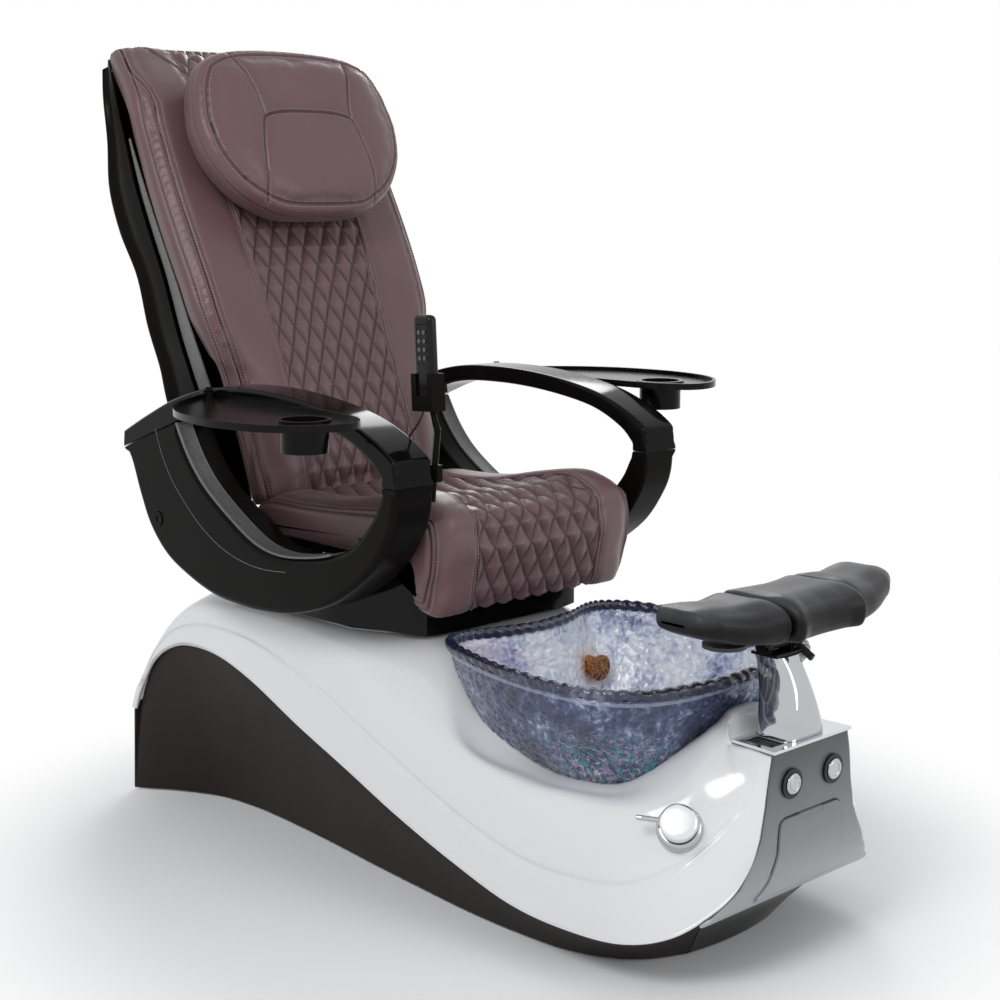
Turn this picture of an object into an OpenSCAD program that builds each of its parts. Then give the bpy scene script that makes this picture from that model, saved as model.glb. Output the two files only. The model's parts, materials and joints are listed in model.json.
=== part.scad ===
// Pedicure spa chair: a moulded base with a foot bowl, and a reclining chair that slides on its deck.
// Millimetres. +Z is up and the chair faces -Y. The origin is on the floor at the base's centre.

/* [Base] */
// Length of the base from the front panel to the rear panel
base_len = 1460; // [1380:10:1560]
// Width of the base over its lip at the rear
base_w = 624; // [600:4:680]
// Height of the flat deck that the chair stands on
deck_h = 436; // [420:2:470]
// Height of the front column, under its collar
column_h = 371; // [350:1:395]
// Width of the front column at its top
column_w = 190; // [170:2:210]
// Wall of the moulded shell
shell_t = 6; // [4:0.5:8]
// Wall of the skirts, the kick band and the panels
skirt_t = 4; // [3:0.5:6]
// Gap between the skirts and the floor
skirt_gap = 3; // [2:0.5:6]
// Height of the levelling feet under the frame
foot_h = 8; // [6:0.5:14]
// Radius of the levelling feet
foot_r = 22; // [16:1:30]
// Side of the square frame tube
tube = 40; // [30:1:45]
// Wall of the frame tube
tube_wall = 3; // [2:0.5:4]
// Distance of each frame rail's middle from the centre line
rail_x = 95; // [80:1:100]

/* [Bowl] */
// Width of the bowl over its rim
bowl_w = 540; // [500:2:550]
// Length of the bowl over its rim
bowl_len = 497; // [470:2:510]
// Distance from the base's centre forward to the bowl's middle
bowl_at = 350; // [342:1:358]
// Height of the bowl's rim above the deck
rim_rise = 22; // [10:1:40]
// Depth of the bowl over its outside
bowl_depth = 230; // [200:2:250]
// Wall of the bowl
bowl_wall = 9; // [6:0.5:12]
// Radius of the drain pipe
drain_r = 19; // [16:0.5:22]
// Radius of the drain's flange
drain_flange_r = 38; // [30:1:45]
// Radius of the jet's cover in the bowl
jet_r = 34; // [26:1:40]
// Radius of the bowl light's lens
light_r = 24; // [18:1:28]

/* [Front panel and controls] */
// Width of the access door at its top
door_w = 150; // [120:2:160]
// Height of the access door
door_h = 128; // [100:2:132]
// Height of the access door's top edge above the floor
door_top = 262; // [250:1:268]
// Gap round the access door
door_gap = 2; // [1.5:0.25:3]
// Diameter of the push buttons' bezels
bezel_d = 48; // [40:1:56]
// Distance of each push button from the centre line
button_x = 52; // [46:1:60]
// Height of the push buttons above the floor
button_z = 317; // [312:1:325]
// Travel of the push buttons
button_travel = 3; // [2:0.25:4]
// Radius of the water mixer's flange
mixer_r = 36; // [32:1:42]
// Depth of the mixer knob
knob_depth = 16; // [13:1:22]
// Length of the mixer's lever
lever_len = 36; // [26:1:50]
// Radius of the hot and cold supply pipes
supply_r = 8; // [6:0.5:9]

/* [Footrest] */
// Width of the footrest over its three pads
rest_w = 488; // [440:5:540]
// Depth of the footrest pads, front to rear
rest_depth = 152; // [130:2:170]
// Thickness of the footrest pads
rest_t = 70; // [55:1:85]
// Height of the footrest's top above the floor
rest_h = 612; // [590:1:640]
// Gap between neighbouring pads
rest_gap = 5; // [3:0.5:8]
// Radius of the footrest's hinge pin
rest_pin_r = 7; // [5:0.5:9]
// Width of the post at its foot
post_w = 92; // [70:1:110]

/* [Seat] */
// Width of the seat cushion
seat_w = 500; // [460:2:508]
// Length of the seat cushion, from the front face to the rear edge
seat_len = 533; // [500:1:560]
// Height of the seat's front crest above the deck
seat_rise = 256; // [235:1:275]
// Drop of the seat's front apron below the crest
apron = 203; // [170:1:215]
// Thickness of the seat pan
pan_t = 9; // [6:0.5:12]
// Wall of the plinth under the seat
plinth_t = 4; // [3:0.5:6]
// Height of the slide rails on the deck
slide_h = 24; // [18:1:30]
// Width of the slide rails
slide_w = 30; // [22:1:36]
// Running gap between the slide's fixed and moving pieces
run_gap = 0.3; // [0.2:0.05:0.6]
// Radius of the recline hinge's pin
pivot_r = 10; // [7:0.5:12]

/* [Arms and trays] */
// Gap between the seat cushion and each arm
arm_clear = 11; // [9:1:26]
// Thickness of each arm
arm_t = 82; // [66:1:96]
// Length of each arm
arm_len = 856; // [820:4:880]
// Height of each arm, from its lowest point to its top
arm_rise = 401; // [380:1:430]
// Thickness of the arm caps
cap_t = 32; // [24:1:38]
// Thickness of the grained liner in the arm's opening
liner_t = 4; // [3:0.5:6]
// Thickness of the tray's plate
tray_t = 5; // [4:0.5:7]
// Height of the tray's rim
tray_rim = 12; // [9:0.5:16]
// Radius of the cup holder's inside
cup_r = 37; // [33:0.5:40]
// Depth of the cup holder
cup_depth = 50; // [35:1:65]
// Radius of the tray's pivot pin
tray_pin_r = 6; // [4:0.5:8]

/* [Back] */
// Width of the back cushion at the shoulders
back_w = 588; // [560:2:620]
// Height of the back above its hinge
back_rise = 948; // [900:4:980]
// Thickness of the back cushion
back_t = 46; // [36:1:56]
// Wall of the back shell
back_shell_t = 4; // [3:0.5:6]
// Width of the head pillow
pillow_w = 490; // [440:2:520]
// Thickness of the head pillow
pillow_t = 84; // [70:1:92]
// Side of the square massage rails
massage_rail = 22; // [18:1:26]
// Radius of the massage rollers
roller_r = 24; // [18:1:26]

/* [Handset] */
// Width of the handset
handset_w = 44; // [36:1:52]
// Thickness of the handset
handset_t = 20; // [15:1:25]
// Length of the handset
handset_len = 150; // [120:2:180]
// Radius of the gooseneck
neck_r = 5; // [4:0.5:7]

/* [Hidden] */

seat_gap = 0.3;      // gap left between pieces that rest on each other
pin_gap = 0.05;      // radial running clearance of a pin in its bore
eps = 0.01;
ROUND = 48;

// ---- curves and skins -------------------------------------------------------------------------

function clamp01(v) = min(max(v, 0), 1);
function mix(a, b, t) = a + (b - a) * t;
function unit(v) = v / norm(v);
function mirror_x(p) = [-p.x, p.y, p.z];
function smooth(t) = let(c = clamp01(t)) c * c * (3 - 2 * c);

// Point at t (0 to 1) on a smooth curve through the points of list p.
function spline(p, t) =
    let(n = len(p) - 1, s = clamp01(t) * n, i = min(floor(s), n - 1), u = s - i,
        a = p[max(i - 1, 0)], b = p[i], c = p[i + 1], d = p[min(i + 2, n)])
    0.5 * (2 * b + (c - a) * u + (2 * a - 5 * b + 4 * c - d) * u * u
        + (3 * b - a - 3 * c + d) * u * u * u);

// Value at key k in a table of [key, value] rows with rising keys.
function table(rows, k, i = 0) =
    k <= rows[0][0] ? rows[0][1]
    : i >= len(rows) - 1 ? rows[len(rows) - 1][1]
    : k <= rows[i + 1][0] ? let(u = (k - rows[i][0]) / (rows[i + 1][0] - rows[i][0]))
        spline([for (r = rows) r[1]], (i + u) / (len(rows) - 1))
    : table(rows, k, i + 1);

// Grid g moved by t towards the side that its rows turn to.
function offset_grid(g, t) =
    let(n = len(g) - 1, m = len(g[0]) - 1)
    [for (i = [0:n]) [for (j = [0:m])
        g[i][j] + t * unit(cross(g[min(i + 1, n)][j] - g[max(i - 1, 0)][j],
            g[i][min(j + 1, m)] - g[i][max(j - 1, 0)]))]];

// Closed sheet between two grids of the same size.
module sheet(outer, inner) {
    n = len(outer) - 1;
    m = len(outer[0]) - 1;
    w = m + 1;
    off = (n + 1) * w;
    function o(i, j) = i * w + j;
    function q(i, j) = off + i * w + j;
    quads = concat(
        [for (i = [0:n - 1], j = [0:m - 1]) [o(i, j), o(i + 1, j), o(i + 1, j + 1), o(i, j + 1)]],
        [for (i = [0:n - 1], j = [0:m - 1]) [q(i, j), q(i, j + 1), q(i + 1, j + 1), q(i + 1, j)]],
        [for (i = [0:n - 1]) [o(i, 0), q(i, 0), q(i + 1, 0), o(i + 1, 0)]],
        [for (i = [0:n - 1]) [o(i, m), o(i + 1, m), q(i + 1, m), q(i, m)]],
        [for (j = [0:m - 1]) [o(0, j), o(0, j + 1), q(0, j + 1), q(0, j)]],
        [for (j = [0:m - 1]) [o(n, j), q(n, j), q(n, j + 1), o(n, j + 1)]]);
    polyhedron([for (g = [outer, inner], row = g, p = row) p],
        [for (f = quads, k = [[0, 1, 2], [0, 2, 3]]) [for (c = k) f[c]]], convexity = 8);
}

// Closed solid through rings of the same number of points, with a fan at each end.
module loft(rings) {
    n = len(rings) - 1;
    m = len(rings[0]);
    function id(i, j) = i * m + (j % m);
    function middle(r) = [for (k = [0:2]) [for (p = r) p[k]] * [for (p = r) 1] / len(r)];
    a = (n + 1) * m;
    polyhedron(
        concat([for (r = rings, p = r) p], [middle(rings[0]), middle(rings[n])]),
        concat(
            [for (i = [0:n - 1], j = [0:m - 1]) [id(i, j), id(i + 1, j), id(i + 1, j + 1)]],
            [for (i = [0:n - 1], j = [0:m - 1]) [id(i, j), id(i + 1, j + 1), id(i, j + 1)]],
            [for (j = [0:m - 1]) [a, id(0, j), id(0, j + 1)]],
            [for (j = [0:m - 1]) [a + 1, id(n, j + 1), id(n, j)]]),
        convexity = 8);
}

// Rods joined end to end through a list of points.
module rods(points, r) {
    for (i = [0:len(points) - 2]) {
        d = points[i + 1] - points[i];
        translate(points[i])
            rotate([0, acos(d.z / norm(d)), atan2(d.y, d.x)])
                cylinder(h = norm(d), r = r, $fn = ROUND / 2);
    }
    for (i = [1:1:len(points) - 2])
        translate(points[i]) sphere(r = r + 0.8, $fn = ROUND / 2);
}

module both_sides() {
    children();
    mirror([1, 0, 0]) children();
}

// Box from its low corner to its high corner.
module span(lo, hi) {
    translate(lo) cube(hi - lo);
}

// Outline in the plane of Y and Z, drawn out along X from x0 to x1.
module side_plate(points, x0, x1) {
    translate([x0, 0, 0])
        rotate([90, 0, 90])
            linear_extrude(x1 - x0) polygon(points);
}

// Sizes that the tables below were drawn at: the base's length and width, the deck's height, the
// column's height and width, the arm's length, rise and lowest point, the back's width and rise.
DRAWN = [1460, 624, 436, 371, 190, 856, 401, 462, 588, 948];

// ---- outlines of the base ---------------------------------------------------------------------

half_len = base_len / 2;
sx = base_w / DRAWN[1];
sy = base_len / DRAWN[0];
sz = deck_h / DRAWN[2];
front_y = -half_len;
panel_y = half_len;
collar_t = 5;
collar_depth = 84;
deck_plate_t = 3;
deck_top = deck_h + seat_gap + deck_plate_t;

function base_pt(p) = [p.x * sx, p.y * sy, p.z * sz];
function column_pt(p) = [p.x * column_w / DRAWN[4], p.y * sy, p.z * column_h / DRAWN[3]];

// The shell's left half from the rear to the front. Each row runs lip, groove, shoulder, ledge, inner.
SHELL_ROWS = concat(
    [for (r = [
        [[312, 725.7, 172], [310, 723, 186], [300, 721, 192], [150, 720, 196], [0, 720, 196]],
        [[310, 704, 222], [306, 700, 238], [292, 697, 246], [150, 695, 250], [0, 694, 251]],
        [[308, 662, 282], [303, 658, 302], [288, 655, 314], [150, 652, 320], [0, 650, 322]],
        [[305, 608, 320], [294, 606, 352], [278, 602, 382], [150, 600, 396], [0, 600, 400]],
        [[300, 545, 338], [287, 545, 374], [268, 545, 418], [182, 546, 436], [0, 546, 436]],
        [[293, 460, 332], [284, 456, 384], [262, 452, 430], [182, 450, 436], [0, 450, 436]],
        [[290, 350, 302], [276, 345, 374], [254, 345, 432], [182, 345, 436], [0, 345, 436]],
        [[288, 210, 246], [271, 205, 334], [250, 205, 424], [182, 205, 436], [0, 205, 436]],
        [[288, 71, 198], [270, 70, 279], [250, 70, 398], [182, 70, 436], [0, 70, 436]],
        [[288, -70, 148], [270, -70, 226], [250, -70, 334], [170, -70, 420], [0, -70, 436]],
        [[288, -215, 105], [270, -209, 179], [251, -200, 280], [214, -195, 300], [120, -190, 360]],
        [[288, -350, 74], [270, -344, 148], [252, -335, 256], [214, -335, 272], [150, -335, 280]],
        [[286, -470, 68], [269, -455, 145], [249, -435, 257], [211, -425, 272], [140, -420, 280]],
        [[275, -586, 76], [260, -575, 163], [235, -554, 268], [190, -512, 283], [130, -470, 290]],
        [[238, -660, 99], [221, -648, 203], [192, -622, 290], [148, -570, 326], [95, -520, 330]],
    ]) [for (p = r) base_pt(p)]],
    [for (r = [
        [[182, -703, 141], [174, -680, 246], [152, -645, 318], [105, -600, 366], [60, -550, 352]],
        [[148, -720, 180], [147, -696, 276], [134, -654, 332], [90, -608, 377], [48, -555, 362]],
        [[121, -725.7, 235], [125, -706, 304], [117, -664, 346], [76, -616, 386], [36, -560, 370]],
        [[99, -725.7, 348], [102, -705, 356], [101, -652, 360], [62, -616, 394], [24, -565, 382]],
        [[91, -725.7, 368], [91, -690, 370.3], [90, -641, 370.3], [50, -611, 399], [14, -565, 390]],
        [[46, -725.7, 369], [46, -690, 370.3], [46, -641, 370.3], [26, -609, 402], [7, -565, 392]],
        [[0, -725.7, 369], [0, -690, 370.3], [0, -641, 370.3], [0, -609, 403], [0, -566, 393]],
    ]) [for (p = r) column_pt(p)]]);
SKIRT_LAST = 15;     // the lip's row where the skirt ends and the kick band starts
SKIRT_STEPS = 30;

function shell_column(k) = [for (r = SHELL_ROWS) r[k]];
function lip_at(row) = spline(shell_column(0), row / (len(SHELL_ROWS) - 1));
function shell_row(row) = [for (k = [0:4]) spline(shell_column(k), row / (len(SHELL_ROWS) - 1))];

// The base's outline on the floor, one point for each of the shell's rows down to the kick band.
FOOT_ROWS = [for (p = [[319, 725.7], [302, 700], [271, 660], [241, 608], [217, 548], [206, 455],
    [207, 350], [215, 210], [227, 71], [237, -70], [245, -215], [243, -330], [233, -425],
    [205, -497], [160, -545], [100, -574]]) [p.x * sx, p.y * sy, skirt_gap]];

function panel_half(z) = let(k = z / column_h * DRAWN[3])
    table([[116, 211], [140, 182.5], [170, 156], [233, 122], [261, 114], [289, 108], [316, 105],
        [343, 101], [371, 95]], k) * column_w / DRAWN[4];
function panel_face(z) = let(k = z / column_h * DRAWN[3])
    table([[116, -692], [127, -703], [157, -720], [186, -728], [210, -730], [371, -730]], k) * sy;
panel_bottom = 116 / DRAWN[3] * column_h;

// Grid of the front panel's face, moved out by d.
function panel_grid(d, n, m) = [for (i = [0:n])
    let(z = mix(panel_bottom, column_h - seat_gap, i / n), w = panel_half(z) - 0.5)
    [for (j = [0:m]) [mix(-w, w, j / m), panel_face(z) - d, z]]];

// ---- bowl -------------------------------------------------------------------------------------

bowl_x = bowl_w / 2;
BOWL_SIDE = [for (p = [[0, -247], [95, -245], [185, -226], [246, -172], [270, -92], [270, 10],
    [254, 110], [228, 200], [192, 246], [146, 250], [84, 228], [0, 215]])
    [p.x * bowl_w / 540, p.y * bowl_len / 497]];
BOWL_LOOP = concat(BOWL_SIDE, [for (k = [len(BOWL_SIDE) - 2:-1:1]) [-BOWL_SIDE[k].x, BOWL_SIDE[k].y]],
    [BOWL_SIDE[0]]);
// Depth below the rim and the share of the rim's outline there.
BOWL_PROFILE = [[0, 1], [12, 1.012], [26, 0.985], [58, 0.955], [94, 0.905], [128, 0.845], [158, 0.78],
    [183, 0.70], [206, 0.585], [222, 0.44], [230, 0.26]];
BOWL_POINTS = 60;
rim_h = deck_h + rim_rise;
bowl_y = -bowl_at * sy;

function bowl_ring(share, z, grow) = [for (k = [0:BOWL_POINTS - 1])
    let(p = spline(BOWL_LOOP, k / BOWL_POINTS), q = p + unit([p.x, p.y]) * grow / share)
    [q.x * share, bowl_y + q.y * share, z]];
function bowl_rings(grow) = [for (k = [len(BOWL_PROFILE) - 1:-1:0]) let(r = BOWL_PROFILE[k])
    bowl_ring(r[1], rim_h - r[0] * bowl_depth / 230 - (k == len(BOWL_PROFILE) - 1 ? grow : 0), grow)];
bowl_bottom = rim_h - bowl_depth;
drain_z = 92;
drain_y = bowl_y;
jet_z = rim_h - 122;
jet_y = bowl_y - 0.86 * 247 * bowl_len / 497;
light_place = [122, bowl_y + 0.88 * 238 * bowl_len / 497, rim_h - 106];

// ---- base pieces ------------------------------------------------------------------------------

frame_top = foot_h + tube;
stand_x = 150;
STAND_Y = [110, 400];
deck_frame_top = deck_h - shell_t - seat_gap;
rail_front = -515;
rail_rear = half_len - 45;
column_x = rail_x - tube / 2;
beam_z = 132 * sz;
head_z = column_h - shell_t - 5;

module tube_x(y, z, x0, x1) {
    difference() {
        span([x0, y - tube / 2, z], [x1, y + tube / 2, z + tube]);
        span([x0 - 1, y - tube / 2 + tube_wall, z + tube_wall],
            [x1 + 1, y + tube / 2 - tube_wall, z + tube - tube_wall]);
    }
}

module tube_y(x, z, y0, y1) {
    translate([x, 0, 0]) rotate(90) tube_x(0, z, y0, y1);
}

module tube_z(x, y, z0, z1) {
    difference() {
        span([x - tube / 2, y - tube / 2, z0], [x + tube / 2, y + tube / 2, z1]);
        span([x - tube / 2 + tube_wall, y - tube / 2 + tube_wall, z0 - 1],
            [x + tube / 2 - tube_wall, y + tube / 2 - tube_wall, z1 + 1]);
    }
}

module base_frame() {
    color([0.16, 0.16, 0.17]) {
        both_sides() {
            tube_y(rail_x, foot_h, rail_front, rail_rear);
            for (y = STAND_Y) tube_x(y, foot_h, rail_x + tube / 2 - eps, stand_x + tube / 2);
            for (y = STAND_Y) tube_z(stand_x, y, frame_top - eps, deck_frame_top - tube + eps);
            tube_y(stand_x, deck_frame_top - tube, STAND_Y[0] - tube / 2, STAND_Y[1] + tube / 2);
        }
        for (y = [rail_front + tube / 2, 0, rail_rear - tube / 2])
            tube_x(y, foot_h, -rail_x + tube / 2 - eps, rail_x - tube / 2 + eps);
        tube_x(STAND_Y[1], deck_frame_top - tube, -stand_x + tube / 2 - eps, stand_x - tube / 2 + eps);
        both_sides() {
            span([column_x, front_y + 38, beam_z], [column_x + 8, front_y + 74, head_z]);
            span([column_x, front_y + 73, beam_z], [column_x + 8, rail_front + 20, beam_z + 24]);
            span([column_x, rail_front, frame_top - eps], [column_x + 8, rail_front + 20 + eps,
                beam_z + 24]);
        }
        span([-column_x - eps, front_y + 38, head_z - 8], [column_x + eps, front_y + 74, head_z]);
    }
}

module levelling_feet() {
    color([0.07, 0.07, 0.07]) {
        both_sides()
            for (y = [rail_front + tube / 2, STAND_Y[1], rail_rear - tube / 2])
                translate([rail_x, y, 0]) cylinder(h = foot_h - seat_gap, r = foot_r, $fn = ROUND);
        cylinder(h = foot_h - seat_gap, r = foot_r, $fn = ROUND);
    }
}

utility_w = 150;
utility_h = 96;
utility_z = 52;

module rear_panel() {
    lip = lip_at(0);
    color([0.15, 0.13, 0.13])
        difference() {
            translate([0, panel_y, 0]) rotate([90, 0, 0]) linear_extrude(skirt_t)
                polygon([[-FOOT_ROWS[0].x, skirt_gap], [FOOT_ROWS[0].x, skirt_gap],
                    [lip.x, lip.z + 12 * sz], [lip.x - 20, lip.z + 20 * sz],
                    [-lip.x + 20, lip.z + 20 * sz], [-lip.x, lip.z + 12 * sz]]);
            span([-utility_w / 2, panel_y - skirt_t - 1, utility_z],
                [utility_w / 2, panel_y + 1, utility_z + utility_h]);
        }
}

// Point at share v of the way up the skirt's hollow flare.
function flare(foot, top, v) =
    spline([foot, [mix(foot.x, top.x, 0.42), mix(foot.y, top.y, 0.42), mix(foot.z, top.z, 0.5)], top], v);

// Grid of the skirt's outside on the left, from the floor to just inside the lip.
function skirt_grid(first, last, n, m) = [for (i = [0:n])
    let(row = mix(first, last, i / n), lip = lip_at(row), foot = spline(FOOT_ROWS, row / SKIRT_LAST),
        up = unit(spline(shell_row(row), 0.04) - lip), along = lip_at(row + 0.2) - lip_at(row - 0.2),
        top = lip + (shell_t + seat_gap + 0.1 + 2 * max(2 - row, 0)) * unit(cross(along, up)) + 5 * up)
    [for (j = [0:m]) flare(foot, top, j / m)]];

module skirt_left() {
    g = skirt_grid(0, SKIRT_LAST, SKIRT_STEPS, 4);
    color([0.18, 0.155, 0.155])
        sheet([for (r = g) [for (p = r) [p.x, min(p.y, panel_y - skirt_t - seat_gap), p.z]]],
            [for (r = offset_grid(g, skirt_t)) [for (p = r)
                [p.x, min(p.y, panel_y - skirt_t - seat_gap), p.z]]]);
}

module skirt_right() {
    mirror([1, 0, 0]) skirt_left();
}

// The kick band runs under the front panel from one skirt to the other.
module kick_band() {
    top = skirt_grid(0, SKIRT_LAST, SKIRT_STEPS, 4)[SKIRT_STEPS][4];
    foot = FOOT_ROWS[SKIRT_LAST];
    g = [for (i = [0:20]) let(u = i / 20 * 2 - 1, bow = 1 - u * u)
        [for (j = [0:4]) let(v = j / 4, p = flare(foot, top, v))
            [-u * (p.x - 1.1), p.y - bow * mix(9, -16, v) * sy, p.z - 25 * bow * v]]];
    color([0.05, 0.045, 0.045]) sheet(g, offset_grid(g, skirt_t));
}

// Grid of the shell's outside from the left lip over the middle to the right lip. The two sides end
// at a seam under the collar plate.
function shell_grid(n, m) = [for (i = [0:n])
    let(row = shell_row(i / n * (len(SHELL_ROWS) - 1)), half = [for (j = [0:m])
        let(p = spline(row, j / m)) [j == m ? 0 : max(p.x, seat_gap), p.y, min(p.z, deck_h)]])
    concat(half, [for (j = [m - 1:-1:0]) mirror_x(half[j])])];

mixer_axis = unit([-0.646, -0.469, 0.602]);
mixer_place = [-202.8 * sx, -638.9 * sy, 258 * sz];
mixer_bore_r = 18;
mixer_low = -30;
mixer_foot = mixer_place + (mixer_low - 12) * mixer_axis;

// Turns +Z to the mixer's axis, at its flange.
module at_mixer() {
    translate(mixer_place)
        rotate([0, acos(mixer_axis.z), atan2(mixer_axis.y, mixer_axis.x)]) children();
}

module shell() {
    g = shell_grid(42, 12);
    color([0.90, 0.91, 0.92])
        difference() {
            sheet(g, offset_grid(g, shell_t));
            loft(bowl_rings(1.0));
            at_mixer() translate([0, 0, -60]) cylinder(h = 120, r = mixer_r + seat_gap, $fn = 64);
        }
}

module deck_plate() {
    color([0.42, 0.42, 0.43])
        translate([0, 0, deck_h + seat_gap]) linear_extrude(deck_plate_t)
            difference() {
                polygon([[-150, 0], [150, 0], [205, 40], [236, 110], [240, 430], [226, 500],
                    [-226, 500], [-240, 430], [-236, 110], [-205, 40]]);
                translate([0, 470]) circle(r = 14, $fn = ROUND);
            }
}

module panel_cut(grow, depth) {
    bottom = door_top - door_h;
    translate([0, front_y + depth, 0]) rotate([90, 0, 0]) linear_extrude(depth + 20)
        polygon([for (p = [[-door_w / 2, door_top], [-door_w / 2 - 3, door_top - 0.4 * door_h],
            [-door_w / 2 - 18, bottom + 0.22 * door_h], [-door_w / 2 - 30, bottom + 6],
            [-door_w / 2 - 26, bottom], [door_w / 2 + 26, bottom], [door_w / 2 + 30, bottom + 6],
            [door_w / 2 + 18, bottom + 0.22 * door_h], [door_w / 2 + 3, door_top - 0.4 * door_h],
            [door_w / 2, door_top]])
            [p.x + sign(p.x) * grow, p.y + (p.y > door_top - 1 ? grow : p.y < bottom + 7 ? -grow : 0)]]);
}

module front_panel() {
    g = panel_grid(0, 24, 6);
    color([0.20, 0.20, 0.21])
        difference() {
            sheet(g, offset_grid(g, skirt_t));
            panel_cut(door_gap, 60);
            for (s = [-1, 1])
                translate([s * button_x, front_y + 10, button_z]) rotate([90, 0, 0])
                    cylinder(h = 20, r = bezel_d / 2 - 4, $fn = ROUND);
        }
}

door_proud = 3;

module access_door() {
    g = panel_grid(door_proud, 24, 4);
    color([0.12, 0.12, 0.125])
        union() {
            intersection() {
                sheet(g, offset_grid(g, skirt_t));
                panel_cut(0, 60);
            }
            translate([-30, front_y - 1, door_top - 26]) cube([60, 10, 8]);
        }
}

module collar_outline() {
    x = column_w / 2 + 3;
    y0 = front_y - 3;
    y1 = front_y + collar_depth;
    polygon([[-x, y0], [x, y0], [x - 5, y1], [-x + 5, y1]]);
}

module collar_plate() {
    color([0.80, 0.81, 0.82])
        difference() {
            translate([0, 0, column_h + seat_gap]) linear_extrude(collar_t) collar_outline();
            translate([-column_w / 2 + 12, front_y + 14, column_h + 3]) cube([33, 52, 10]);
            for (y = [26, 54])
                translate([-column_w / 2 + 28, front_y + y, column_h - 1])
                    cylinder(h = 10, r = 3.5, $fn = ROUND);
        }
}

module button_bezels() {
    color([0.10, 0.10, 0.10])
        for (s = [-1, 1])
            translate([s * button_x, front_y, button_z]) rotate([90, 0, 0])
                difference() {
                    union() {
                        translate([0, 0, seat_gap]) cylinder(h = 5, r = bezel_d / 2, $fn = ROUND);
                        translate([0, 0, -24]) cylinder(h = 25, r = bezel_d / 2 - 4 - seat_gap,
                            $fn = ROUND);
                    }
                    translate([0, 0, -18]) cylinder(h = 30, r = bezel_d / 2 - 7, $fn = ROUND);
                }
}

module push_button(s, ring) {
    r = bezel_d / 2 - 7 - seat_gap;
    color([0.82, 0.83, 0.84])
        translate([s * button_x, front_y, button_z]) rotate([90, 0, 0])
            difference() {
                union() {
                    translate([0, 0, -18 + button_travel + 1])
                        cylinder(h = 18 + 7 - button_travel - 1, r = r, $fn = ROUND);
                    translate([0, 0, 7 - eps]) cylinder(h = 2, r1 = r, r2 = r - 2, $fn = ROUND);
                }
                if (ring)
                    translate([0, 0, 8])
                        difference() {
                            cylinder(h = 3, r = r - 5, $fn = ROUND);
                            cylinder(h = 3, r = r - 7, $fn = ROUND);
                        }
                else
                    translate([0, 0, 7.6]) cylinder(h = 3, r = r - 6, $fn = ROUND);
            }
}

module jet_button() { push_button(-1, true); }
module light_button() { push_button(1, false); }

mixer_flange_h = 12;
mixer_valve_h = 8;
lever_turn = 266;
lever_r = 4;

module mixer_flange() {
    color([0.80, 0.81, 0.82])
        at_mixer()
            difference() {
                union() {
                    translate([0, 0, mixer_low]) cylinder(h = 6 - mixer_low, r = mixer_r, $fn = 64);
                    translate([0, 0, 6 - eps]) cylinder(h = mixer_flange_h - 6 + eps, r1 = mixer_r,
                        r2 = mixer_r - 5, $fn = 64);
                }
                translate([0, 0, mixer_low + 10]) cylinder(h = 60, r = mixer_bore_r, $fn = ROUND);
            }
}

module mixer_valve() {
    color([0.12, 0.12, 0.12])
        at_mixer() {
            translate([0, 0, mixer_low + 12]) cylinder(h = mixer_flange_h + 4 - mixer_low - 12,
                r = mixer_bore_r - pin_gap, $fn = ROUND);
            translate([0, 0, mixer_flange_h + seat_gap])
                cylinder(h = mixer_valve_h, r = mixer_r - 9, $fn = ROUND);
        }
}

module mixer_knob() {
    color([0.86, 0.87, 0.88])
        at_mixer() translate([0, 0, mixer_flange_h + mixer_valve_h + 2 * seat_gap]) {
            cylinder(h = knob_depth - 3, r = mixer_r - 7, $fn = 64);
            translate([0, 0, knob_depth - 3 - eps])
                cylinder(h = 3, r1 = mixer_r - 7, r2 = mixer_r - 10, $fn = 64);
            rotate(lever_turn) translate([0, 0, knob_depth / 2]) rotate([0, 90, 0])
                cylinder(h = mixer_r - 7 + lever_len, r = lever_r, $fn = 32);
        }
}

pipe_tail = 26;
pipe_x = 45;
pipe_z = 104;

module supply_pipes() {
    color([0.72, 0.45, 0.30]) {
        for (s = [-1, 1])
            union() {
                rods([[s * pipe_x, panel_y + pipe_tail, pipe_z], [s * pipe_x, -400, pipe_z],
                    [-118 + s * 20, -470, 140], mixer_foot + [s * 6, 0, -s * 4]], supply_r);
                translate([s * pipe_x, panel_y - 6, pipe_z]) rotate([-90, 0, 0])
                    cylinder(h = 6, r = supply_r + 2, $fn = ROUND / 2);
            }
        at_mixer() translate([0, 0, mixer_low - 12 - seat_gap]) cylinder(h = 12, r = mixer_bore_r + 3,
            $fn = ROUND);
    }
}

module bowl() {
    outer = bowl_rings(0);
    inner = [for (k = [len(BOWL_PROFILE) - 1:-1:0]) let(r = BOWL_PROFILE[k])
        bowl_ring(r[1] * (1 - bowl_wall / bowl_x) - (k == 0 ? 0.006 : 0),
            rim_h + (k == 0 ? 1 : 0) - r[0] * bowl_depth / 230
            + (k > 6 ? bowl_wall * (k - 6) / 4 : 0), 0)];
    color([0.42, 0.47, 0.60, 0.75])
        difference() {
            loft(outer);
            loft(inner);
            translate([0, drain_y, bowl_bottom - 5]) cylinder(h = 40, r = drain_r, $fn = ROUND);
            translate([0, jet_y + 50, jet_z]) rotate([90, 0, 0])
                cylinder(h = 90, r = jet_r - 10, $fn = ROUND);
            translate(light_place + [0, -50, 0]) rotate([-90, 0, 0])
                cylinder(h = 90, r = light_r - 6, $fn = ROUND);
        }
}

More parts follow.
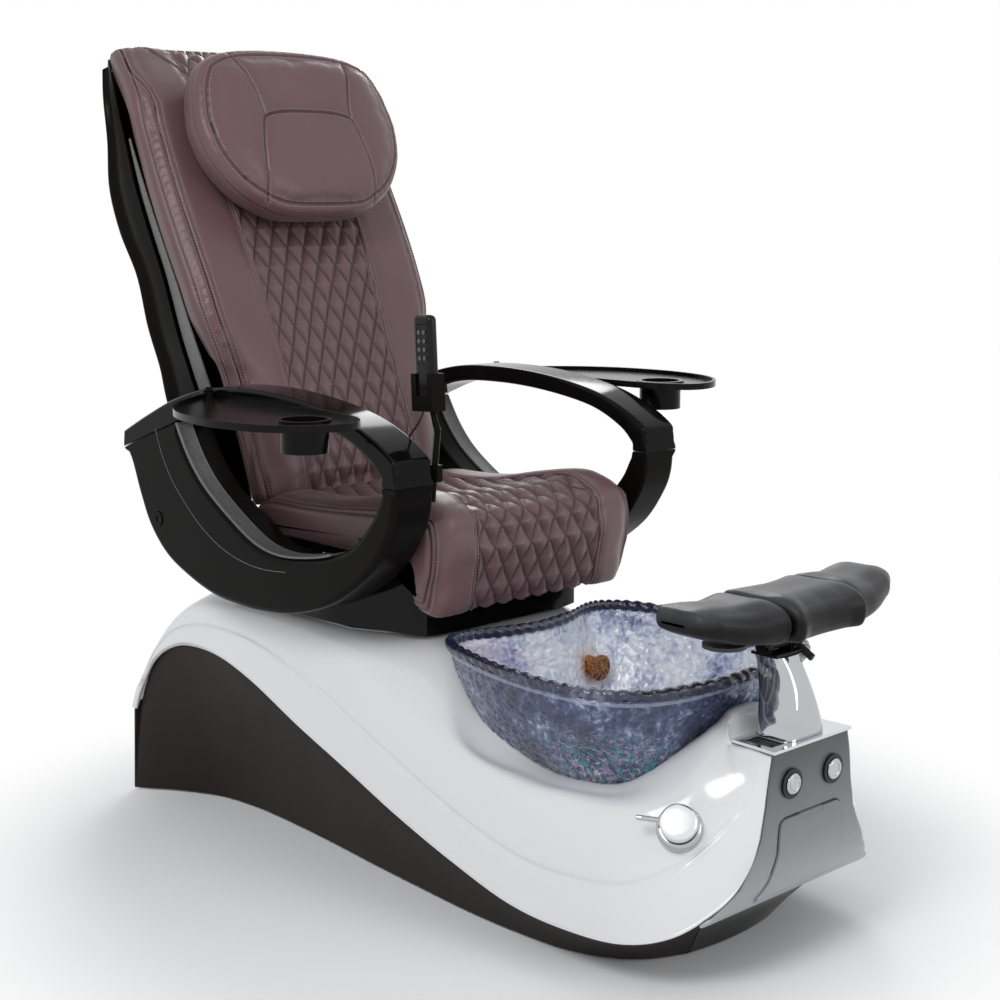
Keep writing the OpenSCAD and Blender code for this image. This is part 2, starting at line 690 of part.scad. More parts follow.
module drain_strainer() {
    top = bowl_bottom + bowl_wall + seat_gap;
    color([0.80, 0.81, 0.82])
        difference() {
            union() {
                translate([0, drain_y, top]) cylinder(h = 4, r = drain_flange_r, $fn = 64);
                translate([0, drain_y, bowl_bottom - 20])
                    cylinder(h = bowl_wall + 22, r = drain_r - seat_gap, $fn = ROUND);
            }
            translate([0, drain_y, bowl_bottom - 21])
                cylinder(h = bowl_wall + 20, r = drain_r - 4, $fn = ROUND);
            for (k = [0:7])
                translate([0, drain_y, top - 3]) rotate(k * 45) translate([10, -1.5, -4]) cube([8, 3, 20]);
        }
}

module drain_pipe() {
    color([0.85, 0.85, 0.85])
        difference() {
            union() {
                translate([0, drain_y, drain_z]) cylinder(h = bowl_bottom - 20 - seat_gap - drain_z,
                    r = drain_r, $fn = ROUND);
                translate([0, drain_y, drain_z]) sphere(r = drain_r, $fn = ROUND);
                translate([0, drain_y, drain_z]) rotate([-90, 0, 0])
                    cylinder(h = panel_y + pipe_tail + 10 - drain_y, r = drain_r, $fn = ROUND);
                translate([0, panel_y - 6, drain_z]) rotate([-90, 0, 0])
                    cylinder(h = 6, r = drain_r + 3, $fn = ROUND);
            }
            translate([0, drain_y, drain_z]) cylinder(h = bowl_bottom, r = drain_r - 3, $fn = ROUND);
            translate([0, drain_y, drain_z]) sphere(r = drain_r - 3, $fn = ROUND);
            translate([0, drain_y, drain_z]) rotate([-90, 0, 0])
                cylinder(h = 2 * base_len, r = drain_r - 3, $fn = ROUND);
        }
}

jet_shaft_r = 5;

// Turns +Z to the rear, on the jet's axis; z = 0 is where the axis meets the bowl's wall.
module at_jet() {
    translate([0, jet_y, jet_z]) rotate([-90, 0, 0]) children();
}

module jet_housing() {
    color([0.30, 0.32, 0.36])
        at_jet()
            difference() {
                union() {
                    translate([0, 0, 25.5]) cylinder(h = 6, r = jet_r, $fn = 64);
                    translate([0, 0, -40]) cylinder(h = 66, r = jet_r - 10 - seat_gap, $fn = ROUND);
                }
                translate([0, 0, -34]) cylinder(h = 80, r = jet_r - 13, $fn = ROUND);
                translate([0, 0, -38]) cylinder(h = 10, r = jet_shaft_r + pin_gap, $fn = 32);
            }
}

module jet_impeller() {
    color([0.75, 0.76, 0.78])
        at_jet() {
            translate([0, 0, -38 + run_gap]) cylinder(h = 60 - run_gap, r = jet_shaft_r, $fn = 32);
            for (k = [0:5])
                rotate(k * 60) translate([3, -1.2, 4]) rotate([18, 0, 0]) cube([jet_r - 19, 2.4, 12]);
        }
}

module bowl_light() {
    color([0.95, 0.78, 0.50])
        translate(light_place) rotate([90, 0, 0]) {
            translate([0, 0, 22]) cylinder(h = 4, r = light_r, $fn = ROUND);
            translate([0, 0, -16]) cylinder(h = 40, r = light_r - 6 - seat_gap, $fn = ROUND);
        }
}

module control_box() {
    color([0.14, 0.14, 0.15]) {
        span([-column_x + seat_gap, front_y + 84, foot_h + 92],
            [column_x - seat_gap, front_y + 116, column_h - 110]);
        span([-62, front_y + 80, foot_h + 96], [62, front_y + 84 + eps, column_h - 120]);
        for (x = [-40:20:40])
            translate([x, front_y + 80 + eps, foot_h + 120]) rotate([90, 0, 0])
                cylinder(h = 3, r = 5, $fn = 32);
    }
}

// ---- footrest ---------------------------------------------------------------------------------

rest_mid_y = -677 * sy;
pin_z = rest_h - rest_t - 26;
pin_y = -654 * sy;
collar_top = column_h + seat_gap + collar_t;
clevis_x = 24;

// Rings of the post from the collar up: height, half width, front, rear.
POST_ROWS = [for (r = [[0, 48, -724, -648], [8, 47, -724, -648], [22, 43, -723, -647],
    [46, 35, -720, -643], [76, 28, -711, -638], [104, 25, -697, -632], [122, 27, -686, -628]])
    [collar_top + seat_gap + r[0], r[1] * post_w / 92, r[2] * sy, r[3] * sy]];

module footrest_post() {
    rings = [for (r = POST_ROWS) [for (k = [0:39])
        let(c = cos(k * 9), s = sin(k * 9))
        [r[1] * sign(c) * pow(abs(c), 0.4), mix(r[3], r[2], 0.5 - 0.5 * sign(s) * pow(abs(s), 0.4)),
            r[0]]]];
    color([0.80, 0.81, 0.82]) loft(rings);
}

module footrest_bracket() {
    base_z = POST_ROWS[len(POST_ROWS) - 1][0] + seat_gap;
    color([0.09, 0.09, 0.09]) {
        span([-clevis_x - 8, pin_y - 28, base_z], [clevis_x + 8, pin_y + 22, base_z + 5]);
        for (s = [-1, 1])
            translate([s * (clevis_x + 4) - 4, 0, 0]) {
                span([0, pin_y - 12, base_z + 4], [8, pin_y + 12, pin_z]);
                translate([0, pin_y, pin_z]) rotate([0, 90, 0]) cylinder(h = 8, r = 12, $fn = ROUND);
            }
    }
    color([0.78, 0.79, 0.80])
        translate([-clevis_x - 14, pin_y, pin_z]) rotate([0, 90, 0]) {
            cylinder(h = 2 * clevis_x + 42, r = rest_pin_r, $fn = ROUND);
            cylinder(h = 5, r = rest_pin_r + 4, $fn = ROUND);
        }
}

pad_under = rest_h - rest_t;

module footrest_carrier() {
    plate_z = pad_under - seat_gap - 6;
    color([0.09, 0.09, 0.09]) {
        difference() {
            union() {
                span([-rest_w * 0.3, pin_y - 42, plate_z], [rest_w * 0.3, pin_y + 12, plate_z + 6]);
                translate([-clevis_x + 0.6, 0, 0])
                    span([0, pin_y - 11, pin_z], [2 * clevis_x - 1.2, pin_y + 11, plate_z + 1]);
                translate([-clevis_x + 0.6, pin_y, pin_z]) rotate([0, 90, 0])
                    cylinder(h = 2 * clevis_x - 1.2, r = 11, $fn = ROUND);
                for (s = [-1, 1])
                    translate([s * rest_w * 0.29, pin_y - 14, plate_z]) cylinder(h = 6, r = 34, $fn = ROUND);
            }
            translate([-60, pin_y, pin_z]) rotate([0, 90, 0])
                cylinder(h = 120, r = rest_pin_r + pin_gap, $fn = ROUND);
        }
    }
}

module footrest_knob() {
    color([0.06, 0.06, 0.06])
        translate([clevis_x + 9, pin_y, pin_z]) rotate([0, 90, 0])
            difference() {
                union() {
                    cylinder(h = 18, r = 15, $fn = ROUND);
                    for (k = [0:17])
                        rotate(k * 20) translate([13.6, -1.4, 0]) cube([3, 2.8, 18]);
                    translate([0, -5, 6]) rotate(-60) cube([44, 10, 7]);
                }
                translate([0, 0, -1]) cylinder(h = 40, r = rest_pin_r + pin_gap, $fn = ROUND);
            }
}

// Drop of the pads' top, rise of their underside and place of their front, by share of half the width.
REST_TOP = [[0, 6], [0.2, 4], [0.34, 0], [0.40, 2], [0.62, 9], [0.86, 3], [0.95, 4], [1, 14]];
REST_LOW = [[0, 0], [0.42, 0], [0.7, 9], [0.9, 22], [1, 30]];
REST_FRONT = [[0, 82], [0.2, 85], [0.34, 94], [0.40, 76], [0.6, 66], [0.85, 46], [0.95, 30], [1, 14]];
// Section of a pad: shares of its depth from the middle, and of its height.
PAD_SECTION = [[-1, 0.42], [-0.97, 0.62], [-0.87, 0.8], [-0.68, 0.93], [-0.4, 1], [0, 0.985], [0.4, 0.98],
    [0.7, 0.97], [0.9, 0.9], [0.98, 0.74], [1, 0.5], [0.97, 0.24], [0.84, 0.06], [0.5, 0], [0, 0],
    [-0.5, 0], [-0.86, 0.05], [-0.97, 0.2]];

function pad_ring(x, shrink) =
    let(u = abs(x) / (rest_w / 2), top = rest_h - table(REST_TOP, u) - shrink,
        low = pad_under + max(table(REST_LOW, u), 0) + shrink, k = rest_depth / 152,
        front = rest_mid_y - table(REST_FRONT, u) * k + shrink,
        rear = rest_mid_y + (74 - (u > 0.84 ? 500 * pow(u - 0.84, 2) : 0)) * k - shrink)
    [for (p = PAD_SECTION) [x, mix(front, rear, (p.x + 1) / 2), mix(low, top, p.y)]];

module pad_between(x0, x1) {
    e = 7;
    n = 14;
    loft(concat([pad_ring(x1, e), pad_ring(x1 - 2, 2.2)],
        [for (k = [n:-1:0]) pad_ring(mix(x0 + e, x1 - e, k / n), 0)],
        [pad_ring(x0 + 2, 2.2), pad_ring(x0, e)]));
}

pad_edge = rest_w * 0.178;

module pad_left() {
    color([0.06, 0.055, 0.055]) pad_between(pad_edge + rest_gap / 2, rest_w / 2);
}

module pad_center() {
    color([0.03, 0.03, 0.03]) pad_between(-pad_edge + rest_gap / 2, pad_edge - rest_gap / 2);
}

module pad_right() {
    color([0.06, 0.055, 0.055]) pad_between(-rest_w / 2, -pad_edge - rest_gap / 2);
}

// ---- seat slide -------------------------------------------------------------------------------

rail_y0 = 40;
rail_y1 = 300;
rail_z = deck_top + seat_gap;
head_t = 8;
web_w = slide_w * 0.45;
pan_top = deck_h + 139;
pan_low = pan_top - pan_t;

module slide_rails() {
    color([0.55, 0.56, 0.58])
        both_sides()
            translate([stand_x, 0, 0])
                difference() {
                    union() {
                        span([-slide_w / 2, rail_y0, rail_z], [slide_w / 2, rail_y1, rail_z + 5]);
                        span([-web_w / 2, rail_y0, rail_z + 4], [web_w / 2, rail_y1, rail_z + slide_h - 1]);
                        span([-slide_w / 2, rail_y0, rail_z + slide_h - head_t],
                            [slide_w / 2, rail_y1, rail_z + slide_h]);
                    }
                    for (y = [rail_y0 + 30, rail_y1 - 30])
                        translate([0, y, rail_z - 1]) cylinder(h = slide_h + 2, r = 3.3, $fn = 32);
                }
}

pivot_y = 400;
pivot_z = deck_h + 84;
bracket_x = 206;
bracket_t = 8;

module slide_carriage() {
    top = rail_z + slide_h;
    color([0.80, 0.80, 0.82])
        translate([-seat_drive_x, 43, seat_drive_z]) rotate([-90, 0, 0])
            cylinder(h = 170, r = drive_rod_r - pin_gap, $fn = ROUND);
    color([0.13, 0.13, 0.14])
        difference() {
            union() {
                both_sides() {
                    for (y = [70, 230])
                        translate([stand_x, y, 0])
                            difference() {
                                span([-slide_w / 2 - 6, -28, top - head_t - 6],
                                    [slide_w / 2 + 6, 28, top + 6]);
                                span([-slide_w / 2 - run_gap, -29, top - head_t - run_gap],
                                    [slide_w / 2 + run_gap, 29, top + run_gap]);
                                span([-web_w / 2 - 3, -29, top - head_t - 8],
                                    [web_w / 2 + 3, 29, top - 2]);
                            }
                    span([stand_x - 15, 20, top + 6 - eps], [stand_x + 15, 430, top + 26]);
                    for (y = [60, 320])
                        span([stand_x - 12, y, top + 26 - eps], [stand_x + 12, y + 24, pan_low - seat_gap]);
                    span([stand_x + 15 - eps, pivot_y - 26, top + 6], [bracket_x + bracket_t,
                        pivot_y + 26, top + 12]);
                    span([bracket_x, pivot_y - 26, top + 6], [bracket_x + bracket_t, pivot_y + 26, pivot_z]);
                    translate([bracket_x, pivot_y, pivot_z]) rotate([0, 90, 0])
                        cylinder(h = bracket_t, r = 26, $fn = ROUND);
                }
                span([-stand_x + 15 - eps, 20, top + 6], [stand_x - 15 + eps, 44, top + 26]);
                span([-stand_x + 15 - eps, 330, top + 6], [stand_x - 15 + eps, 350, top + 26]);
            }
            translate([-260, pivot_y, pivot_z]) rotate([0, 90, 0])
                cylinder(h = 520, r = pivot_r + pin_gap, $fn = ROUND);
            translate([-seat_drive_x, 320, seat_drive_z]) rotate([-90, 0, 0])
                cylinder(h = 40, r = drive_r + 2, $fn = ROUND);
            translate([recline_x, 320, recline_z]) rotate([-90, 0, 0])
                cylinder(h = 40, r = drive_r + 2, $fn = ROUND);
        }
}

drive_r = 15;
drive_rod_r = 8;
seat_drive_x = 70;
seat_drive_z = deck_top + 42;
recline_x = 70;
drive_arm = 50;
recline_z = pivot_z - drive_arm;

module seat_actuator() {
    color([0.24, 0.24, 0.26])
        difference() {
            union() {
                translate([-seat_drive_x, 110, seat_drive_z]) rotate([-90, 0, 0])
                    cylinder(h = 190, r = drive_r, $fn = ROUND);
                span([-seat_drive_x - 12, 242, deck_top + seat_gap], [-seat_drive_x + 12, 264,
                    seat_drive_z]);
                span([-seat_drive_x - 12, 130, deck_top + seat_gap], [-seat_drive_x + 12, 150,
                    seat_drive_z]);
                span([-seat_drive_x - 24, 130, deck_top + seat_gap], [-seat_drive_x + 24, 264,
                    deck_top + 8]);
            }
            translate([-seat_drive_x, 100, seat_drive_z]) rotate([-90, 0, 0])
                cylinder(h = 190, r = drive_rod_r + run_gap, $fn = ROUND);
        }
}

plinth_z = deck_top + 2.5;

module seat_plinth() {
    side = [for (p = [[0, -46], [150, -46], [184, -36], [200, -8], [222, 70], [243, 140], [248, 200],
        [248, 300], [244, 372]]) [p.x * seat_w / 500, p.y]];
    inner = [for (p = side) [max(p.x - plinth_t, 0), p.y + (p.x < 190 ? plinth_t : 0)]];
    color([0.035, 0.03, 0.03])
        difference() {
            translate([0, 0, plinth_z]) linear_extrude(pan_low - seat_gap - plinth_z)
                difference() {
                    polygon(concat(side, [for (k = [len(side) - 1:-1:1]) [-side[k].x, side[k].y]]));
                    polygon(concat([for (k = [0:len(side) - 1]) inner[k] + (k == len(side) - 1
                        ? [0, 10] : [0, 0])], [for (k = [len(side) - 1:-1:1])
                        [-inner[k].x, inner[k].y + (k == len(side) - 1 ? 10 : 0)]]));
                }
            both_sides()
                for (y = ARM_BOLT_Y)
                    translate([200, y, arm_low + 52]) rotate([0, 90, 0])
                        cylinder(h = arm_x0 - 200, r = 5.3, $fn = 32);
        }
}

module seat_pan() {
    color([0.10, 0.10, 0.10])
        difference() {
            translate([0, 0, pan_low]) linear_extrude(pan_t - seat_gap)
                polygon([for (p = [[-232, -20], [-200, -50], [200, -50], [232, -20], [240, 120],
                    [240, 385], [-240, 385], [-240, 120]]) [p.x * seat_w / 500, p.y]]);
            for (x = [-1, 1], y = [72, 332])
                translate([x * stand_x, y, pan_low - 1]) cylinder(h = pan_t + 2, r = 3.3, $fn = 32);
        }
}

// ---- seat cushion -----------------------------------------------------------------------------

seat_front = -134;
crest = deck_h + seat_rise;
apron_z = crest - apron;

// Side outline of the cushion at distance x from the middle, from the rear over the top and down.
function seat_ring(x) =
    let(u = abs(x) / (seat_w / 2), b = table([[0, 0], [0.5, 3], [0.62, 11], [0.78, 13], [0.9, 9], [1, 0]], u),
        side = smooth((u - 0.80) / 0.20), rear = seat_front + seat_len, low = crest - 56 + b * 0.3,
        nose = seat_front + 10 * side, top = crest - 14 + b - 12 * side, drop = 26 * pow(side, 3))
    [for (p = [
        [rear, pan_top + 18], [rear - 10, pan_top + 42], [rear - 48, low + 3 * side],
        [rear - 130, low + 5 + 6 * side], [rear - 240, low + 15 + 2 * side],
        [rear - 340, top - 16 + 9 * side], [-40, top + 1], [-84, top - 2], [-112, top - 10],
        [nose + 5, top - 26], [nose, top - 56], [nose + 3, top - 96], [nose + 10, apron_z + 62],
        [nose + 16, apron_z + 22 + drop], [nose + 24, apron_z + 3 + drop],
        [nose + 42, apron_z + drop], [nose + 58, apron_z + 6 + drop], [-64, apron_z + 30 + drop],
        [-62, pan_top - 22], [-56, pan_top], [-20, pan_top], [120, pan_top],
        [260, pan_top], [rear - 20, pan_top]])
        [x, p.x, p.y]];

module seat_cushion() {
    w = seat_w / 2;
    color([0.41, 0.31, 0.325])
        loft([for (u = [-1, -0.985, -0.94, -0.88, -0.78, -0.66, -0.56, -0.3, 0, 0.3, 0.56, 0.66, 0.78,
            0.88, 0.94, 0.985, 1]) seat_ring(u * w)]);
}

// ---- arms -------------------------------------------------------------------------------------

arm_x0 = seat_w / 2 + arm_clear;
arm_x1 = arm_x0 + arm_t;
arm_low = deck_top + 22;
arm_top = arm_low + arm_rise;
arm_mid = 273;

function arm_pt(p) = [arm_mid + (p.x - arm_mid) * arm_len / DRAWN[5],
    arm_low + (p.y - DRAWN[7]) * arm_rise / DRAWN[6]];
function arm_curve(points, n) = [for (k = [0:n]) arm_pt(spline(points, k / n))];

// Outside of the arm under its cap, from the rear end round the bottom to the front end.
ARM_OUT = [[680, 717], [660, 690], [634, 630], [600, 570], [546, 521], [475, 490], [394, 468],
    [316, 462], [240, 463], [150, 474], [54, 503], [-20, 543], [-83, 592], [-125, 650], [-141, 690],
    [-145, 732]];
// Edge of the arm's opening, from the front end round the bottom to the rear end.
ARM_IN = [[-111, 732], [-100, 712], [-79, 676], [-28, 624], [34, 596], [110, 580], [185, 574],
    [255, 586], [335, 624], [412, 672], [462, 722], [500, 780]];
BOLT_AT = [566, 590];
ARM_BOLT_Y = [180, 320];
CAP_TOP = [[-145, 732], [-142, 762], [-134, 780], [-80, 810], [4, 838], [128, 857], [260, 863],
    [386, 855], [500, 826], [600, 786], [683, 748]];
CAP_LOW = [[682, 718], [610, 744], [500, 782], [386, 822], [260, 831], [128, 825], [4, 806],
    [-70, 776], [-104, 748], [-111, 732]];

function cap_low_curve() = arm_curve([for (p = CAP_LOW) [p.x, p.y + (p.y > 740 ? 32 - cap_t : 0)]], 28);

module arm_body() {
    difference() {
        side_plate(concat(arm_curve(ARM_OUT, 44), arm_curve(ARM_IN, 36)), arm_x0, arm_x1);
        translate([arm_x1 - 3, arm_pt(BOLT_AT).x, arm_pt(BOLT_AT).y]) rotate([0, 90, 0])
            cylinder(h = 10, r = 15, $fn = ROUND);
        for (y = ARM_BOLT_Y)
            translate([arm_x0 - 1, y, arm_low + 52]) rotate([0, 90, 0]) cylinder(h = 30, r = 5.3, $fn = 32);
    }
}

module arm_left() {
    color([0.085, 0.075, 0.07]) arm_body();
}

module arm_right() {
    mirror([1, 0, 0]) arm_left();
}

module cap_body() {
    difference() {
        union() {
            side_plate(concat(arm_curve(CAP_TOP, 40), cap_low_curve()), arm_x0, arm_x1);
            translate([0, 0, seat_gap])
                side_plate(concat(arm_curve(CAP_TOP, 40), cap_low_curve()), arm_x0 + 10, arm_x1 - 10);
        }
        span([arm_x0 - 1, -200, arm_pt([0, 732]).y - 40], [arm_x1 + 1, 0, arm_pt([0, 732]).y + seat_gap]);
    }
}

module cap_left() {
    color([0.04, 0.035, 0.035])
        translate([0, 0, seat_gap]) cap_body();
}

module cap_right() {
    mirror([1, 0, 0]) cap_left();
}

module arm_liners() {
    path = [for (k = [0:30]) spline(ARM_IN, 0.36 + 0.64 * k / 30)];
    n = len(path) - 1;
    function side(k) = let(d = unit(path[min(k + 1, n)] - path[max(k - 1, 0)])) [-d.y, d.x];
    color([0.30, 0.30, 0.30])
        both_sides()
            side_plate(concat([for (k = [0:n]) arm_pt(path[k] + side(k) * seat_gap)],
                [for (k = [n:-1:0]) arm_pt(path[k] + side(k) * (liner_t + seat_gap))]),
                arm_x0 + arm_t * 0.56, arm_x1 - 1);
}

module arm_bolts() {
    p = arm_pt(BOLT_AT);
    color([0.10, 0.10, 0.10])
        both_sides() {
            translate([arm_x1 - 3 + seat_gap, p.x, p.y]) rotate([0, 90, 0])
                difference() {
                    cylinder(h = 5, r = 14.6, $fn = ROUND);
                    translate([0, 0, 3]) cylinder(h = 3, r = 6, $fn = 6);
                }
            for (y = ARM_BOLT_Y)
                translate([bracket_x + 8, y, arm_low + 52]) rotate([0, 90, 0])
                    cylinder(h = arm_x0 + 26 - bracket_x - 8, r = 5, $fn = 32);
        }
}

// ---- trays ------------------------------------------------------------------------------------

tray_pivot = [arm_x1 + 14, 362];
tray_low = arm_top - 26;
cup_place = [arm_x1 + 90, -24];
lug_t = 12;

module tray_pivots() {
    color([0.08, 0.08, 0.08])
        both_sides() {
            span([arm_x1 + seat_gap, tray_pivot.y - 34, tray_low - run_gap - lug_t],
                [tray_pivot.x, tray_pivot.y + 18, tray_low - run_gap]);
            translate([tray_pivot.x, tray_pivot.y, tray_low - run_gap - lug_t])
                cylinder(h = lug_t, r = 13, $fn = ROUND);
            translate([tray_pivot.x, tray_pivot.y, tray_low - run_gap - 2])
                cylinder(h = 26, r = tray_pin_r, $fn = ROUND);
            translate([tray_pivot.x, tray_pivot.y, tray_low + 16 + run_gap])
                cylinder(h = 3, r = tray_pin_r + 4, $fn = ROUND);
        }
}

function tray_pt(p) = [arm_x1 + p.x, p.y];
TRAY = [[4, 290], [3, 170], [6, 40], [20, -60], [44, -112], [78, -135], [125, -128], [170, -96],
    [205, -40], [221, 40], [217, 110], [200, 180], [170, 238], [130, 288], [80, 330], [44, 360],
    [26, 372], [14, 374.6], [5, 371], [1.5, 362], [2, 345]];

module tray_outline(d) {
    c = tray_pt([110, 120]);
    n = 72;
    polygon([for (k = [0:n - 1]) let(p = tray_pt(spline(concat(TRAY, [TRAY[0]]), k / n)))
        p - unit(p - c) * d]);
}

module tray_body() {
    difference() {
        union() {
            translate([0, 0, tray_low]) linear_extrude(tray_t) tray_outline(0);
            translate([0, 0, tray_low]) linear_extrude(tray_rim)
                difference() {
                    tray_outline(0);
                    tray_outline(7);
                }
            translate([cup_place.x, cup_place.y, tray_low - cup_depth + tray_t])
                cylinder(h = cup_depth + 3, r = cup_r + 3, $fn = 64);
            translate([cup_place.x, cup_place.y, tray_low + tray_t])
                cylinder(h = 4, r = cup_r + 9, $fn = 64);
            translate([tray_pivot.x, tray_pivot.y, tray_low])
                cylinder(h = 16, r = 12.5, $fn = ROUND);
        }
        translate([cup_place.x, cup_place.y, tray_low - cup_depth + tray_t + 3])
            cylinder(h = cup_depth + 20, r = cup_r, $fn = 64);
        translate([tray_pivot.x, tray_pivot.y, tray_low - 1])
            cylinder(h = 40, r = tray_pin_r + pin_gap, $fn = ROUND);
    }
}

module tray_left() {
    color([0.03, 0.03, 0.03]) tray_body();
}

module tray_right() {
    mirror([1, 0, 0]) tray_left();
}

// ---- back -------------------------------------------------------------------------------------

back_s = back_rise / DRAWN[9];
lean = 22.8;

function back_pt(p) = [p.x * mix(arm_x0 / 261, back_w / DRAWN[8], smooth((p.z - 860) / 180)),
    pivot_y + (p.y - 400) * back_s, pivot_z + (p.z - 520) * back_s];

// Side edge of the leather, and the edge of its quilted middle, from the bottom to the top.
BACK_EDGE = [[236, 412, 628], [242, 450, 750], [252, 472, 849], [268, 474, 900], [286, 488, 975],
    [291, 517, 1045], [294, 560, 1130], [294, 610, 1222], [291, 665, 1325], [286, 700, 1405],
    [262, 800, 1486]];
BACK_QUILT = [[135, 350, 641], [135, 386, 750], [135, 426, 849], [134, 446, 900], [136, 478, 975],
    [139, 508, 1045], [143, 552, 1130], [145, 600, 1222], [147, 648, 1325], [148, 692, 1405],
    [140, 796, 1490]];

function back_row(t) = let(e = back_pt(spline(BACK_EDGE, t)), q = back_pt(spline(BACK_QUILT, t)),
    c = [0, q.y + 9, q.z + 2], o = [mix(q.x, e.x, 0.62), mix(q.y, e.y, 0.34) - 3, mix(q.z, e.z, 0.6)])
    [mirror_x(e), mirror_x(o), mirror_x(q), c, q, o, e];

module back_cushion() {
    n = 26;
    m = 18;
    g = [for (i = [0:n]) let(r = back_row(i / n)) [for (j = [0:m]) spline(r, j / m)]];
    color([0.41, 0.31, 0.325]) sheet(g, offset_grid(g, back_t));
}

// Rear of the back's shell: half width, height and depth of its middle from the bottom up.
SHELL_EDGE = [[238, 520, 602], [242, 545, 700], [246, 566, 806], [254, 580, 860], [272, 592, 940],
    [281, 622, 1045], [288, 655, 1130], [292, 690, 1215], [291, 724, 1305], [285, 764, 1395],
    [259, 826, 1465]];
SHELL_REAR = [[226, 586, 596], [228, 640, 700], [238, 670, 806], [246, 676, 870], [262, 686, 950],
    [268, 706, 1045], [272, 756, 1130], [274, 784, 1215], [272, 784, 1305], [268, 798, 1385],
    [250, 830, 1440]];

module back_shell() {
    n = 24;
    m = 16;
    g = [for (i = [0:n]) let(e = back_pt(spline(SHELL_EDGE, i / n)), r = back_pt(spline(SHELL_REAR, i / n)),
        a = [e.x, mix(e.y, r.y, 0.55), mix(e.z, r.z, 0.5)], c = [0, r.y + 6, r.z],
        row = [e, a, r, c, mirror_x(r), mirror_x(a), mirror_x(e)])
        [for (j = [0:m]) spline(row, j / m)]];
    color([0.07, 0.065, 0.06]) sheet(g, offset_grid(g, back_shell_t));
}

module back_trims() {
    n = 20;
    g = [for (i = [0:n]) let(t = mix(0.14, 0.80, i / n), e = back_pt(spline(BACK_EDGE, t)),
        s = back_pt(spline(SHELL_EDGE, t)), a = e + [-4, (back_t + 3) * 0.92, -(back_t + 3) * 0.30],
        b = s - [5, 8, 0])
        [for (j = [0:4]) mix(a, b, j / 4)]];
    color([0.25, 0.25, 0.25])
        both_sides() sheet(g, offset_grid(g, 3));
}

pillow_sink = 36.1;
pillow_mid = back_pt([0, 551, 1306]);

module head_pillow() {
    rise = 168 * back_s;
    w = pillow_w / 2;
    SHAPE = [[0, -168], [92, -164], [150, -140], [196, -104], [232, -46], [245, 20], [240, 66],
        [226, 112], [196, 152], [126, 176], [0, 184]];
    loop = concat(SHAPE, [for (k = [len(SHAPE) - 2:-1:1]) mirror_x(concat(SHAPE[k], [0]))], [SHAPE[0]]);
    m = 56;
    edge = [for (k = [0:m - 1]) let(p = spline([for (q = loop) [q.x, q.y]], k / m))
        [p.x * w / 245, p.y * rise / 168]];
    levels = [for (a = [84:-14:-84]) [sin(a), pow(cos(a), 0.62)]];
    color([0.42, 0.32, 0.335])
        translate(pillow_mid) rotate([-lean, 0, 0])
            loft([for (l = levels) [for (p = edge)
                let(q = p * mix(0.62, 1, l[1]), dish = 10 * cos(90 * min(norm(p) / w, 1)) * max(-l[0], 0))
                [q.x, l[0] * (pillow_t / 2 + (l[0] > 0 ? pillow_sink + 0.068 * q.y : 0)) + dish
                    - 4 * pow(q.x / w, 2), q.y]]]);
}

rail_lean = 23.2;
massage_x = 105;
rail_len = 830 * back_s;
carriage_s = 520 * back_s;

// Turns +Z along the massage rails, from the recline pivot; +Y points to the rear.
module along_back() {
    translate([0, pivot_y, pivot_z]) rotate([-rail_lean, 0, 0]) children();
}

module back_frame() {
    h = massage_rail / 2;
    color([0.20, 0.20, 0.21]) {
        along_back() {
            both_sides() span([massage_x - h, -h, -4], [massage_x + h, h, rail_len]);
            span([-massage_x, -h, 120], [massage_x, h, 120 + massage_rail]);
            span([-massage_x, -h, rail_len - massage_rail], [massage_x, h, rail_len]);
            for (r = [[150, 142], [rail_len - 60, 81]])
                both_sides() span([massage_x - h, h - eps, r[0]], [massage_x + h, r[1] * back_s, r[0] + 16]);
        }
        translate([-bracket_x - bracket_t - 6, pivot_y, pivot_z]) rotate([0, 90, 0])
            cylinder(h = 2 * (bracket_x + bracket_t + 6), r = pivot_r, $fn = ROUND);
        difference() {
            union() {
                translate([recline_x - 4, pivot_y, pivot_z]) span([0, -14, -drive_arm - 20], [8, 14, 4]);
                translate([recline_x - 4, pivot_y, pivot_z]) rotate([0, 90, 0])
                    cylinder(h = 8, r = 18, $fn = ROUND);
            }
            span([recline_x - 20, pivot_y - 7, recline_z - 14], [recline_x + 20, pivot_y + 7,
                recline_z + 8]);
        }
    }
}

module massage_carriage() {
    h = massage_rail / 2;
    g = run_gap;
    color([0.30, 0.30, 0.32])
        along_back() translate([0, 0, carriage_s]) {
            difference() {
                union() {
                    both_sides()
                        span([massage_x - h - 7, -h - 6, -44], [massage_x + h + 7, h + 6, 44]);
                    span([-massage_x + h, -h + 2, -40], [massage_x - h, h - 2, -26]);
                    span([-massage_x + h, -h + 2, 26], [massage_x - h, h - 2, 40]);
                    span([-massage_x + h, h - 8, -40], [massage_x - h, h - 2, 40]);
                    both_sides()
                        for (x = [30, 82])
                            span([x, -h - 22, -12], [x + 6, h - 4, 12]);
                }
                both_sides()
                    span([massage_x - h - g, -h - g, -60], [massage_x + h + g, h + g, 60]);
                translate([-120, -h - 15, 0]) rotate([0, 90, 0]) cylinder(h = 240, r = 4 + pin_gap, $fn = 32);
            }
        }
}

